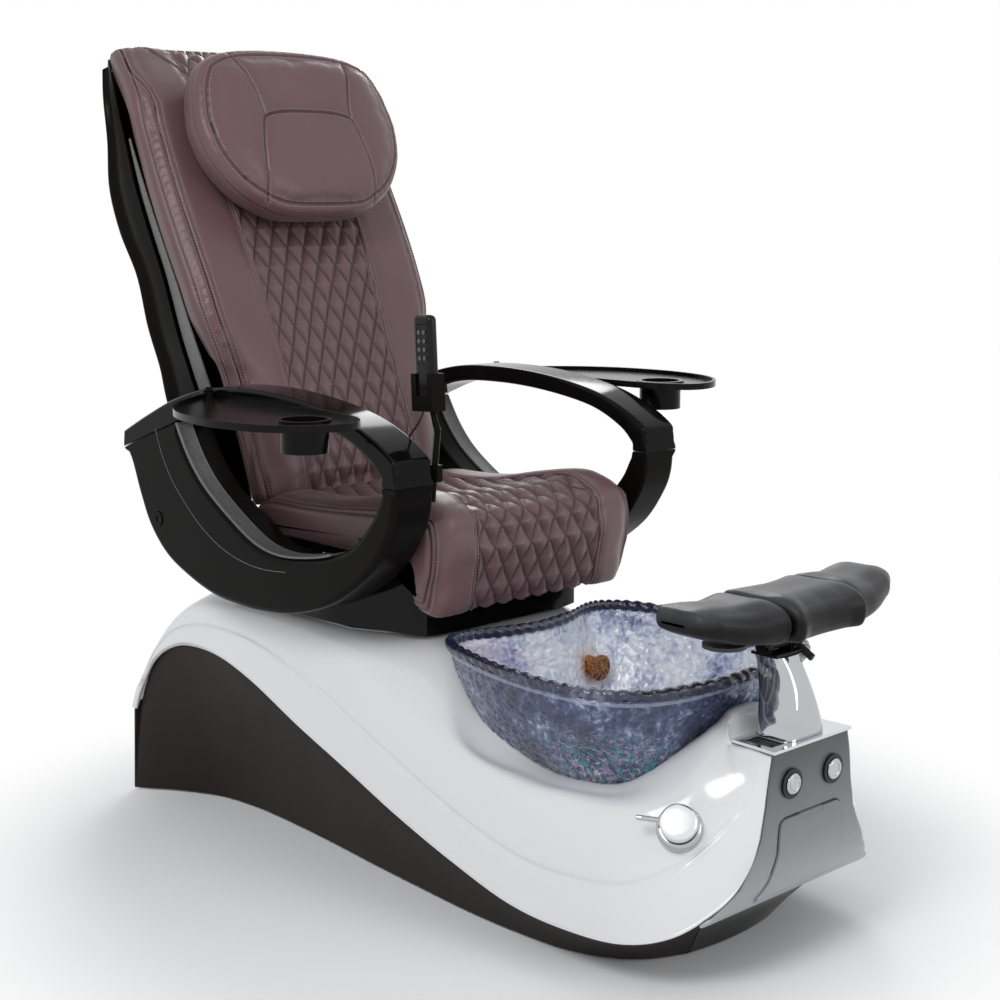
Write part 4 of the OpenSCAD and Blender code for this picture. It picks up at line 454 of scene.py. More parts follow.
def dress(name, width, material, segments=2, angle=30, weld=0.00002):
    """A smoother copy of a hard part: merged, cleaned, its edges rounded; it stands for the part."""
    made = bpy.data.meshes.new(name + "_form")
    bm = bmesh.new()
    bm.from_mesh(parts[name].data)
    bmesh.ops.remove_doubles(bm, verts=bm.verts, dist=weld)
    bmesh.ops.dissolve_limit(bm, angle_limit=math.radians(1.5), verts=bm.verts, edges=bm.edges)
    bmesh.ops.recalc_face_normals(bm, faces=bm.faces)
    bm.to_mesh(made)
    bm.free()
    ob = linked(name + "_form", made)
    ob.data.shade_smooth()
    ob.data.set_sharp_from_angle(angle=math.radians(angle))
    soften(ob, width, segments, angle)
    ob.data.materials.clear()
    return fit(ob, material, name)

PANEL_HALF = np.array([[116, 211], [140, 182.5], [170, 156], [233, 122], [261, 114], [289, 108], [316, 105],
    [343, 101], [371, 95]]) / 1000
PANEL_FACE = np.array([[116, -692], [127, -703], [157, -720], [186, -728], [210, -730], [371, -730]]) / 1000
DOOR_W, DOOR_TOP, DOOR_LOW, DOOR_GAP, DOOR_ROUND = 0.150, 0.262, 0.134, 0.002, 0.012
BUTTON_X, BUTTON_Z, BUTTON_HOLE = 0.052, 0.317, 0.0195

def table(rows, k):
    """The value at k of a smooth curve through a table of key and value, as the mould's drawing has it."""
    k = np.clip(np.asarray(k, float), rows[0, 0], rows[-1, 0])
    i = np.clip(np.searchsorted(rows[:, 0], k, side="right") - 1, 0, len(rows) - 2)
    u = (k - rows[i, 0]) / (rows[i + 1, 0] - rows[i, 0])
    return strand(rows[:, 1], (i + u) / (len(rows) - 1))

def door_edge(z):
    """Half width of the door at a height; its sides spread towards the floor."""
    s = np.clip((DOOR_TOP - z) / (DOOR_TOP - DOOR_LOW), 0, 1)
    side = np.interp(s, [0, 0.4, 0.78, 0.95, 1.0], [DOOR_W / 2, DOOR_W / 2 + 0.003, DOOR_W / 2 + 0.018,
        DOOR_W / 2 + 0.030, DOOR_W / 2 + 0.026])
    corner = np.clip((z - (DOOR_TOP - DOOR_ROUND)) / DOOR_ROUND, 0, 1)
    return side - DOOR_ROUND * (1 - np.sqrt(np.maximum(1 - corner ** 2, 0)))

for name, low, high, proud in (("front_panel", 0.116, 0.3707, 0), ("access_door", DOOR_LOW, DOOR_TOP, 0.003)):
    z = np.linspace(low, high, 129)
    u = np.linspace(-1, 1, 121)
    if proud:
        half_w = np.minimum(door_edge(z), table(PANEL_HALF, z) - 0.001)
    else:
        half_w = table(PANEL_HALF, z) - 0.0005
    x = half_w[:, None] * u[None]
    y = np.repeat(table(PANEL_FACE, z)[:, None], len(u), 1) - proud
    zz = np.repeat(z[:, None], len(u), 1)
    if not proud:
        edge = np.abs(x) - (door_edge(zz) + DOOR_GAP)
        inside = np.maximum(edge, np.maximum(zz - (DOOR_TOP + DOOR_GAP), (DOOR_LOW - DOOR_GAP) - zz))
        y = y + 0.005 * (1 - step(inside, -0.0005, 0.0009))
        holes = np.hypot(np.abs(x) - BUTTON_X, zz - BUTTON_Z) < BUTTON_HOLE
        keep = ~(holes[:-1, :-1] | holes[1:, :-1] | holes[1:, 1:] | holes[:-1, 1:])
        y = y + 0.0016 * (step(np.abs(u)[None], 0.965, 1.0))
    else:
        # a shallow finger grip under the door's top edge
        grip = np.exp(-(((zz - (DOOR_TOP - 0.004)) / 0.004) ** 4)) * (np.abs(x) < 0.03)
        y = y + 0.0012 * grip
        keep = None
    panel = sheet(name + "_skin", np.stack([x, y, zz], -1), SKIRT_WALL, keep)
    fit(panel, panel_plastic, name)

# ---- Collar, post and push buttons ----
# Polished stainless collar plate over the column, chrome-plated post clamped through it, and two
# air buttons with plated faces in black bezels pushed into the panel.
def plating(name, colour, rough, ripple=0.12, scale=16.0, reflection_streak=0.0):
    """Bright plating: a mirror with a slow ripple and small changes of gloss, its colour darkened in patches
    by painted dark reflection streaks.
    """
    made, tree, face, where = blank_paint(name)
    gloss = ranged(tree, noise(tree, where, 60.0, Detail=3.0), To_Min=max(rough - 0.02, 0.01),
        To_Max=rough + 0.05)
    # painted reflection: noise darkens the colour in streaks
    tint = blend_of(tree, noise(tree, where, 8.0, Detail=2.0), [c * (0.93 - reflection_streak) for c in colour] + [1],
        [min(c * 1.05, 1) for c in colour] + [1])
    plug(tree, face, Metallic=1.0, Roughness=gloss, Base_Color=tint)
    bumped(tree, face, noise(tree, where, scale, Detail=1.5), ripple, 0.004)
    return made

chrome = plating("chrome_plate", (0.56, 0.575, 0.60), 0.035, ripple=0.16, scale=20.0, reflection_streak=0.25)
polished = plating("polished_steel_plate", (0.66, 0.67, 0.69), 0.06, ripple=0.05, scale=30.0)
bezel_black = finish("bezel_black", (0.008, 0.008, 0.009), 0.22, grain=0.05, specular=0.3)
collar = dress("collar_plate", 0.0011, polished, segments=3)
# the faces down in the collar's well are painted near black as painted shade
pocket_shade = finish("pocket_shade", (0.006, 0.006, 0.007), 0.5, grain=0.1)
collar.data.materials.append(pocket_shade)
for p in collar.data.polygons:
    c = p.center
    if -0.0835 < c.x < -0.0495 and -0.7165 < c.y < -0.6635 and c.z < 0.3755:
        p.material_index = 1
dress("button_bezels", 0.0010, bezel_black, segments=3)
for name in ("jet_button", "light_button"):
    dress(name, 0.0006, chrome, segments=3)

POST = np.array([[0, 48, -724, -648], [8, 47, -724, -648], [22, 43, -723, -647], [46, 35, -720, -643],
    [76, 28, -711, -638], [104, 25, -697, -632], [122, 27, -686, -628]]) / 1000
POST_FOOT = 0.3766
SQUARISH = 0.4
levels = strand(POST, np.linspace(0, 1, 61))
around = np.linspace(0, 2 * np.pi, 128, endpoint=False)
cx, sy = (np.sign(v) * np.abs(v) ** SQUARISH for v in (np.cos(around), np.sin(around)))
rings = [np.stack([r[1] * cx, r[3] + (r[2] - r[3]) * (0.5 - 0.5 * sy), np.full(128, POST_FOOT + r[0])], 1)
    for r in levels]
first = rings[0]
centre = first.mean(0)
rings = [centre + (first - centre) * [0.985, 0.985, 1]] + [r + [0, 0, 0.0012 if k == 0 else 0]
    for k, r in enumerate(rings)]
fit(loft("post_chrome", rings), chrome, "footrest_post")

# ---- Water mixer ----
# A deck-mounted single-lever mixer in the near front corner of the shell: plated brass base ring and
# valve, plated cap, and one round lever that turns with the cap.
axis_mix = unit(np.array([-0.646, -0.469, 0.602]))
mixer_seat = np.array([-202.8, -638.9, 258]) / 1000

def turned(name, profile, place, axis, around=96):
    """A solid turned from a profile of radius and height about an axis."""
    side = unit(np.cross([0, 0, 1], axis))
    a = np.linspace(0, 2 * np.pi, around, endpoint=False)[:, None]
    ring = np.cos(a) * side + np.sin(a) * np.cross(axis, side)
    return loft(name, [place + h * axis + max(r, 0.00005) * ring for r, h in profile])

ring_profile = [(0, -0.030), (0.036, -0.030), (0.036, 0.0020), (0.0357, 0.0055), (0.0345, 0.0085),
    (0.0328, 0.0105), (0.0312, 0.0118), (0.0290, 0.0120), (0, 0.0120)]
fit(turned("mixer_base_ring", ring_profile, mixer_seat, axis_mix), chrome, "mixer_flange")
for s in parts["mixer_valve"].material_slots:
    s.material = bezel_black
cap_profile = [(0, 0.0206), (0.0282, 0.0206), (0.0290, 0.0214), (0.0290, 0.0318), (0.0284, 0.0338),
    (0.0270, 0.0354), (0.0250, 0.0363), (0.018, 0.0366), (0, 0.0366)]
pearl = plating("pearl_chrome", (0.78, 0.785, 0.80), 0.11, ripple=0.06, scale=24)
fit(turned("mixer_cap", cap_profile, mixer_seat, axis_mix), pearl, "mixer_knob")
lever_at = math.radians(266)
# The lever lies square to the axis, at the angle that the turned cap carries it to.
tilt, bearing = math.acos(axis_mix[2]), math.atan2(axis_mix[1], axis_mix[0])
ex = np.array([math.cos(tilt) * math.cos(bearing), math.cos(tilt) * math.sin(bearing), -math.sin(tilt)])
ey = np.array([-math.sin(bearing), math.cos(bearing), 0])
out_way = ex * math.cos(lever_at) + ey * math.sin(lever_at)
start = mixer_seat + axis_mix * 0.0286
shares = np.array([0.012, 0.030, 0.045, 0.055, 0.0622, 0.0640, 0.0648, 0.0650])
sizes = np.array([0.004, 0.004, 0.0039, 0.0040, 0.0040, 0.0037, 0.0028, 0.0008])
lever = tube("mixer_lever", [start + out_way * s for s in shares], sizes, 24)
fit(lever, chrome, "mixer_knob")
# ---- Bowl ----
# The foot bowl: thick resin cast over glass chips, hammered on both faces, violet blue on its outer face
# and pearly on its inner face, with a rope-like rolled rim. It drops through the shell on its rim.
BOWL_WALL, BOWL_THIN, TURNS = 0.009, 0.0333, 480
RIM_R, RIM_IN, RIM_SINK, ROPE_TWISTS = 0.0094, -0.0050, 0.0092, 76
DRAIN, DRAIN_R = np.array([0, -0.350]), 0.019
angle_at = np.linspace(0, 1, TURNS + 1)[:-1]
outline = strand(BOWL_LOOP, angle_at)
out_flat = unit(outline)
deep = np.concatenate([np.linspace(0.016, 0.206, 76), np.linspace(0.209, 0.230, 7)])

def level_ring(flat, z):
    """A ring of the bowl from its flat points about the bowl's middle, at a height or heights."""
    return np.concatenate([flat + BOWL_MID, np.broadcast_to(z, TURNS)[:, None]], 1)

def bowl_size(depth):
    k = np.interp(depth, BOWL_PROFILE[:, 0], np.arange(len(BOWL_PROFILE)))
    return strand(BOWL_PROFILE[:, 1], k / (len(BOWL_PROFILE) - 1))

def chips(points, size, seed):
    """Distances from points to the nearest and next of chip centres laid at random, by a fixed seed."""
    rng = np.random.default_rng(seed)
    lo, hi = points.min(0) - size, points.max(0) + size
    count = np.ceil((hi - lo) / size).astype(int)
    offsets = rng.random((*count, 3))
    cell = np.clip(((points - lo) / size).astype(int), 0, count - 1)
    best, second = np.full((2, len(points)), 9.0)
    for near in np.ndindex(3, 3, 3):
        c = np.clip(cell + np.array(near) - 1, 0, count - 1)
        chip_at = lo + (c + offsets[c[:, 0], c[:, 1], c[:, 2]]) * size
        d = np.linalg.norm(points - chip_at, axis=1) / size
        second = np.minimum(second, np.maximum(best, d))
        best = np.minimum(best, d)
    return best, second

def ring_normals(rings):
    return facing(np.concatenate([rings[:, -1:], rings, rings[:, :1]], 1))[:, 1:-1]

def hammered(rings, depth, seed, chip=0.021, fine_chip=0.009):
    """Presses rounded hammer marks of two sizes into rings of points."""
    rings = np.asarray(rings)
    flat = rings.reshape(-1, 3)
    big, big_next = chips(flat, chip, seed)
    small, small_next = chips(flat + 0.004, fine_chip, seed + 1)
    high = np.minimum((big_next - big) / 0.30, 1) * 0.75 + np.minimum((small_next - small) / 0.35, 1) * 0.35
    high = (high - 0.6).reshape(rings.shape[:2])[..., None]
    return rings - ring_normals(rings) * depth * high

outer = hammered([level_ring(outline * bowl_size(d) - out_flat * 0.0016, RIM_TOP - d) for d in deep[::-1]],
    0.0034, 5)
floor_lift = np.interp(deep, [0.158, 0.230], [0.0, BOWL_WALL])
inner = hammered([level_ring(outline * bowl_size(d) * (1 - BOWL_THIN), RIM_TOP - d + lift)
    for d, lift in zip(deep, floor_lift)], 0.0026, 9)
rim = []
angle = angle_at * 2 * np.pi
for a in np.radians(np.linspace(-72, 250, 22)):
    # the rolled rim: a thick bead round the mouth, with a gentle rope twist
    twist = 0.0013 * np.sin(ROPE_TWISTS * angle + 1.6 * a) + 0.0004 * np.sin(13 * angle + 0.7)
    flat = outline + out_flat * (RIM_IN + (RIM_R + twist) * math.cos(a))[:, None]
    rim.append(level_ring(flat, RIM_TOP - RIM_SINK + (RIM_R + twist) * math.sin(a)))
wall = np.concatenate([outer, rim, inner])

def to_drain(ring, share):
    """The bowl's floor on one face: a ring run in towards the drain's hole."""
    ring = ring.copy()
    flat = ring[:, :2] - DRAIN
    ring[:, :2] = DRAIN + flat * share + unit(flat) * DRAIN_R * (1 - share)
    return ring

whole_rings = np.concatenate([wall, [to_drain(wall[-1], s) for s in (0.66, 0.33, 0.0)],
    [to_drain(wall[0], s) for s in (0.0, 0.33, 0.66)]])
ids = np.arange(whole_rings.size // 3).reshape(-1, TURNS)
nxt = np.roll(ids, -1, 0)
quads = np.stack([ids, nxt, np.roll(nxt, -1, 1), np.roll(ids, -1, 1)], -1)
mesh = bpy.data.meshes.new("bowl_cast")
mesh.from_pydata(whole_rings.reshape(-1, 3).tolist(), [], quads.reshape(-1, 4).tolist())
OUTSIDE, RIM, INSIDE = 0, 1, 2
layer = np.full(len(whole_rings), float(INSIDE))
layer[:len(outer)], layer[len(outer):len(outer) + len(rim)] = OUTSIDE, RIM
mesh.attributes.new("layer", "FLOAT", "POINT").data.foreach_set("value", np.repeat(layer, TURNS))
bowl = finish_mesh("bowl_cast", mesh, sharp=80)

bowl_glass, tree, face, where = blank_paint("chipped_resin")
side = node(tree, "ShaderNodeAttribute", attribute_name="layer").outputs["Fac"]
height = node(tree, "ShaderNodeSeparateXYZ", Vector=where).outputs["Z"]
warp = node(tree, "ShaderNodeTexNoise", Vector=where, Scale=14.0, Detail=3.0).outputs["Color"]
bent = joined(tree, "ShaderNodeVectorMath", warp, (0.05, 0.05, 0.05), where, operation="MULTIPLY_ADD")
chip_value = node(tree, "ShaderNodeSeparateColor", Color=cells(tree, bent, 62.0, "Color")).outputs["Blue"]

def zone_of(tree, where, middle, full, none, strength):
    """A share that is strength within a distance of a point of the object and fades to nothing."""
    gap = node(tree, "ShaderNodeVectorMath", operation="DISTANCE")
    tree.links.new(where, gap.inputs[0])
    gap.inputs[1].default_value = middle
    return ranged(tree, gap.outputs["Value"], From_Min=full, From_Max=none, To_Min=strength, To_Max=0.0,
        interpolation_type="SMOOTHSTEP")

streaks = sum_of(tree, "MULTIPLY_ADD", noise(tree, bent, 85.0, Detail=4.0, Roughness=0.6), 0.55,
    noise(tree, where, 9.0, Detail=6.0, Roughness=0.62))
dark = ramp_of(tree, streaks, [(0.58, (0.007, 0.009, 0.030)), (0.70, (0.022, 0.029, 0.080)),
    (0.80, (0.045, 0.062, 0.145)), (0.88, (0.13, 0.165, 0.30)), (0.96, (0.45, 0.50, 0.66))])
# painted highlights: pools of teal, lilac and pale glints in the hammer marks low on the near side
painted_glints = ramp_of(tree, noise(tree, bent, 58.0, Detail=3.0, Distortion=1.4), [(0.30, (0.016, 0.020, 0.050)),
    (0.40, (0.05, 0.42, 0.50)), (0.44, (0.02, 0.03, 0.07)), (0.50, (0.030, 0.036, 0.085)),
    (0.54, (0.50, 0.36, 0.60)), (0.57, (0.025, 0.03, 0.07)), (0.62, (0.78, 0.84, 0.92)),
    (0.66, (0.04, 0.20, 0.30)), (0.75, (0.016, 0.02, 0.05))])
dark = blend_of(tree, zone_of(tree, where, (-0.160, -0.470, 0.255), 0.05, 0.19, 0.85), dark, painted_glints)
pale = ramp_of(tree, streaks, [(0.56, (0.16, 0.18, 0.34)), (0.68, (0.46, 0.51, 0.70)),
    (0.76, (0.74, 0.79, 0.90)), (0.88, (0.93, 0.95, 0.98))])
oil = ramp_of(tree, noise(tree, bent, 34.0, Detail=3.0, Distortion=0.8), [(0.30, (0.09, 0.09, 0.24)),
    (0.42, (0.30, 0.16, 0.42)), (0.50, (0.52, 0.22, 0.46)), (0.58, (0.16, 0.22, 0.48)),
    (0.68, (0.62, 0.50, 0.34)), (0.80, (0.80, 0.80, 0.88))])
pale = blend_of(tree, zone_of(tree, where, (-0.190, -0.230, 0.400), 0.04, 0.20, 0.80), pale, oil)
body = blend_of(tree, ranged(tree, side, From_Min=1.35, From_Max=1.65), dark, pale)
# the rolled rim is deep navy, over a thin pale band just under it
body = blend_of(tree, sum_of(tree, "COMPARE", side, 1.0, 0.35), body,
    blend_of(tree, 0.30, (0.006, 0.008, 0.022, 1), dark))
pale_band = sum_of(tree, "MULTIPLY", sum_of(tree, "COMPARE", height, 0.4335, 0.0035),
    sum_of(tree, "LESS_THAN", side, 0.5))
body = blend_of(tree, pale_band, body, blend_of(tree, 0.5, (0.42, 0.46, 0.60, 1), dark))
# the light in the bowl tints its own corner amber
body = blend_of(tree, zone_of(tree, where, (0.120, -0.150, 0.352), 0.012, 0.055, 0.60), body,
    ramp_of(tree, chip_value, [(0.0, (0.55, 0.10, 0.03)), (0.5, (0.80, 0.33, 0.06)),
    (1.0, (0.90, 0.62, 0.25))]))
plug(tree, face, Base_Color=body, Roughness=ranged(tree, chip_value, To_Min=0.05, To_Max=0.22),
    Coat_Weight=0.35, Coat_Roughness=0.04, Transmission_Weight=0.10, IOR=1.5)
edges = cells(tree, bent, 62.0, Randomness=1.0, feature="DISTANCE_TO_EDGE")
lift = sum_of(tree, "MULTIPLY_ADD", cells(tree, bent, 150.0, feature="DISTANCE_TO_EDGE"), 0.5,
    sum_of(tree, "MINIMUM", edges, 0.25))
bumped(tree, face, lift, 0.65, 0.003)
fit(bowl, bowl_glass, "bowl")


# ---- Footrest pads ----
# Three moulded pads of skinned polyurethane foam with a fine leather grain, screwed to the carrier: a
# dished pad for each foot and a bridge between them.
REST_TOP = np.array([[0, 6], [0.2, 4], [0.34, 0], [0.40, 2], [0.62, 9], [0.86, 3], [0.95, 4], [1, 14]])
REST_LOW = np.array([[0, 0], [0.42, 0], [0.7, 9], [0.9, 22], [1, 30]])
REST_FRONT = np.array([[0, 82], [0.2, 85], [0.34, 94], [0.40, 76], [0.6, 66], [0.85, 46], [0.95, 30],
    [1, 14]])
PAD_SECTION = np.array([[-1, .42], [-.97, .62], [-.87, .8], [-.68, .93], [-.4, 1], [0, .985], [.4, .98],
    [.7, .97], [.9, .9], [.98, .74], [1, .5], [.97, .24], [.84, .06], [.5, 0], [0, 0], [-.5, 0],
    [-.86, .05], [-.97, .2], [-1, .42]])
REST_HALF, REST_MID, PAD_TOP, PAD_UNDER = 0.244, -0.677, 0.612, 0.542

def pad_ring(x, inset, count):
    """A pad's section at x from the middle, moved in by its inset."""
    u = abs(x) / REST_HALF
    top = PAD_TOP - float(table(REST_TOP, u)) / 1000 - inset
    low = PAD_UNDER + max(float(table(REST_LOW, u)), 0) / 1000 + inset
    front = REST_MID - float(table(REST_FRONT, u)) / 1000 + inset
    rear = REST_MID + (74 - (500 * (u - 0.84) ** 2 if u > 0.84 else 0)) / 1000 - inset
    p = strand(PAD_SECTION, np.linspace(0, 1, count + 1)[:-1])
    return np.stack([np.full(count, x), front + (rear - front) * (p[:, 0] + 1) / 2,
        low + (top - low) * p[:, 1]], 1)

def values_of(items, key, width, kind=float):
    """One field of all of a mesh's items, a row for each."""
    flat = np.empty(len(items) * width, kind)
    items.foreach_get(key, flat)
    return flat.reshape(-1, width)

def stuffing(name, rings, voxel, cap, held=None):
    """Blows a closed form up as cloth under pressure and gives back how far any point of it moved, at
    most by about cap. Voxel is the size of the cloth's faces, and held is the share left free."""
    PRESSURE, FRAMES, SMOOTHINGS, NEAREST = 4.0, 20, 6, 5
    ob = loft(name + "_blank", rings)
    remesh = ob.modifiers.new("skin", "REMESH")
    remesh.mode, remesh.voxel_size = "VOXEL", voxel
    mesh = bpy.data.meshes.new_from_object(ob.evaluated_get(bpy.context.evaluated_depsgraph_get()))
    ob.modifiers.clear()
    ob.data = mesh
    count = len(mesh.vertices)
    rest = values_of(mesh.vertices, "co", 3)
    move = np.zeros_like(rest)
    cloth = ob.modifiers.new("stuffing", "CLOTH")
    how = cloth.settings
    how.quality, how.mass, how.air_damping = 4, 0.25, 2.0
    how.tension_stiffness = how.compression_stiffness = 12
    how.shear_stiffness, how.bending_stiffness = 6, 0.6
    how.use_pressure, how.uniform_pressure_force = True, PRESSURE
    how.effector_weights.gravity = 0
    cloth.point_cache.frame_start, cloth.point_cache.frame_end = 1, FRAMES
    for frame_no in range(1, FRAMES + 1):
        bpy.context.scene.frame_set(frame_no)
    shaped = ob.evaluated_get(bpy.context.evaluated_depsgraph_get()).to_mesh()
    normal = values_of(mesh.vertices, "normal", 3)
    out = ((values_of(shaped.vertices, "co", 3) - rest) * normal).sum(1)
    ends = values_of(mesh.edges, "vertices", 2, int)
    a, b = ends.T
    degree = np.bincount(ends.ravel(), minlength=count)
    for _ in range(SMOOTHINGS):
        out = 0.4 * out + 0.6 * (np.bincount(a, out[b], count) + np.bincount(b, out[a], count)) / degree
    ob.modifiers.clear()
    bpy.context.scene.frame_set(1)
    move = normal * (cap * np.tanh(np.maximum(out, 0) / cap))[:, None]
    if held:
        move *= held(rest)[:, None]
    tree = KDTree(count)
    for k in range(count):
        tree.insert(rest[k], k)
    tree.balance()
    bpy.data.objects.remove(ob)

    def moved(points):
        flat = points.reshape(-1, 3)
        out = np.zeros_like(flat)
        if not move.any():
            return out.reshape(points.shape)
        for k, p in enumerate(flat):
            near = tree.find_n(p, NEAREST)
            w = np.array([1 / (d + voxel * 0.3) ** 2 for _, _, d in near])
            out[k] = (w[:, None] * move[[i for _, i, _ in near]]).sum(0) / w.sum()
        return out.reshape(points.shape)
    return moved

pad_skin, tree, face, where = blank_paint("grained_pad_skin")
tone = noise(tree, where, 22.0, Detail=4.0)
# the top is painted paler, a painted highlight of the light that falls on it from above
top_highlight = ranged(tree, node(tree, "ShaderNodeSeparateXYZ", Vector=where).outputs["Z"], From_Min=0.578,
    From_Max=0.610, interpolation_type="SMOOTHSTEP")
plain_skin = ramp_of(tree, tone, [(0.3, (0.0036, 0.0034, 0.0038)), (0.7, (0.0060, 0.0058, 0.0062))])
highlight_skin = ramp_of(tree, tone, [(0.3, (0.040, 0.041, 0.045)), (0.7, (0.072, 0.073, 0.079))])
creased = noise(tree, where, 900.0, Detail=3.0)
bumped(tree, face, sum_of(tree, "MULTIPLY_ADD", creased, 0.6, cells(tree, where, 620.0)), 0.30, 0.0007)
plug(tree, face, Base_Color=blend_of(tree, top_highlight, plain_skin, highlight_skin), Specular_IOR_Level=0.16,
    Roughness=ranged(tree, creased, To_Min=0.27, To_Max=0.42))

def rounding(d, r):
    """How far a face falls back at a distance d from its edge, which is rounded by a radius r."""
    return r - np.sqrt(np.maximum(r * r - (r - np.clip(d, 0, r)) ** 2, 0))

PAD_EDGE, PAD_GAP, PAD_ROUND, PAD_INSET = 0.086864, 0.005, 0.013, 0.0020
for name, x0, x1 in (("pad_left", PAD_EDGE + PAD_GAP / 2, REST_HALF), ("pad_center", -PAD_EDGE + PAD_GAP / 2,
        PAD_EDGE - PAD_GAP / 2), ("pad_right", -REST_HALF, -PAD_EDGE - PAD_GAP / 2)):
    def ring_at(x, extra, count):
        """A pad's section, drawn in by extra and by the rounding of the pad's two side faces."""
        return pad_ring(x, rounding(min(x - x0, x1 - x), PAD_ROUND) + extra, count)
    ends = PAD_ROUND * (1 - np.cos(np.linspace(0, np.pi / 2, 9)))
    xs = np.concatenate([x0 + ends, np.linspace(x0 + 0.016, x1 - 0.016, 44), (x1 - ends)[::-1]])
    coarse = [ring_at(x, 0.0028, 48) for x in np.linspace(x0 + 0.0022, x1 - 0.0022, 26)]
    swell = stuffing(name, coarse, 0.005, 0.0055, lambda p: step(p[:, 2], PAD_UNDER + 0.004,
        PAD_UNDER + 0.022))
    rings = np.array([ring_at(x, PAD_INSET, 120) for x in xs])
    rings = rings + swell(rings)
    rings[..., 0] = np.clip(rings[..., 0], x0 + 0.0004, x1 - 0.0004)
    pad = fit(loft(name + "_foam", rings, 60), pad_skin, name)

# ---- Leather ----
# Mauve-brown PU leather over foam: a fine pebbled grain and a soft satin gloss, with a painted highlight
# on each crown and painted shade down in the sewn seams.
SEAM_SHADE_TONE, BODY_TONE, CROWN_HIGHLIGHT_TONE = (0.030, 0.014, 0.016), (0.120, 0.064, 0.068), (0.168, 0.094, 0.101)
mauve, tree, face, where = blank_paint("mauve_brown_leather")
# the seam attribute carries painted shade, and the swell attribute a painted highlight
seam = node(tree, "ShaderNodeAttribute", attribute_name="seam").outputs["Fac"]
swell = node(tree, "ShaderNodeAttribute", attribute_name="swell").outputs["Fac"]
base = ramp_of(tree, noise(tree, where, 7.0, Detail=5.0, Roughness=0.6),
    [(0.25, [c * 0.90 for c in BODY_TONE]), (0.75, [c * 1.08 for c in BODY_TONE])])
hide = blend_of(tree, seam, blend_of(tree, swell, base, (*CROWN_HIGHLIGHT_TONE, 1)), (*SEAM_SHADE_TONE, 1))
pore = noise(tree, where, 1300.0, Detail=2.0)
grain = sum_of(tree, "MULTIPLY_ADD", pore, 0.5, cells(tree, where, 520.0))
crease = noise(tree, where, 46.0, Detail=5.0, Distortion=1.2)
bumped(tree, face, sum_of(tree, "MULTIPLY_ADD", crease, 1.6, grain), 0.16, 0.0009)
plug(tree, face, Base_Color=hide, Roughness=ranged(tree, pore, To_Min=0.31, To_Max=0.44),
    Specular_IOR_Level=0.40, Sheen_Weight=0.06, Sheen_Roughness=0.45)
thread = finish("mauve_thread", (0.40, 0.275, 0.285), 0.55, tone=0.12, tone_scale=60, grain=0.3,
    grain_scale=2500)

def quilting(u, v, wide, tall):
    """Distances from the seams of diamond quilting at places u across and v along, in metres."""
    a, b = u / wide + v / tall, u / wide - v / tall
    pitch = 1 / math.hypot(1 / wide, 1 / tall)
    return np.minimum(np.abs(a - np.round(a)), np.abs(b - np.round(b))) * pitch

def quilted(d, high, low):
    """The foam's height at distances d from the quilting's seams, which are drawn down by low."""
    return (1 - np.exp(-(d / 0.0085) ** 1.15)) * high - low

def seam_profile(d, width):
    """A soft furrow at distances d from its line: 1 on the line and 0 well beyond its width."""
    return np.exp(-(d / width) ** 2)

def along_grid(grid, i, j):
    """Point of a grid of points at fractional row and column."""
    i = np.clip(np.asarray(i, float), 0, grid.shape[0] - 1.001)
    j = np.clip(np.asarray(j, float), 0, grid.shape[1] - 1.001)
    i0, j0 = i.astype(int), j.astype(int)
    fi, fj = (i - i0)[..., None], (j - j0)[..., None]
    return (grid[i0, j0] * (1 - fi) * (1 - fj) + grid[i0 + 1, j0] * fi * (1 - fj)
        + grid[i0, j0 + 1] * (1 - fi) * fj + grid[i0 + 1, j0 + 1] * fi * fj)

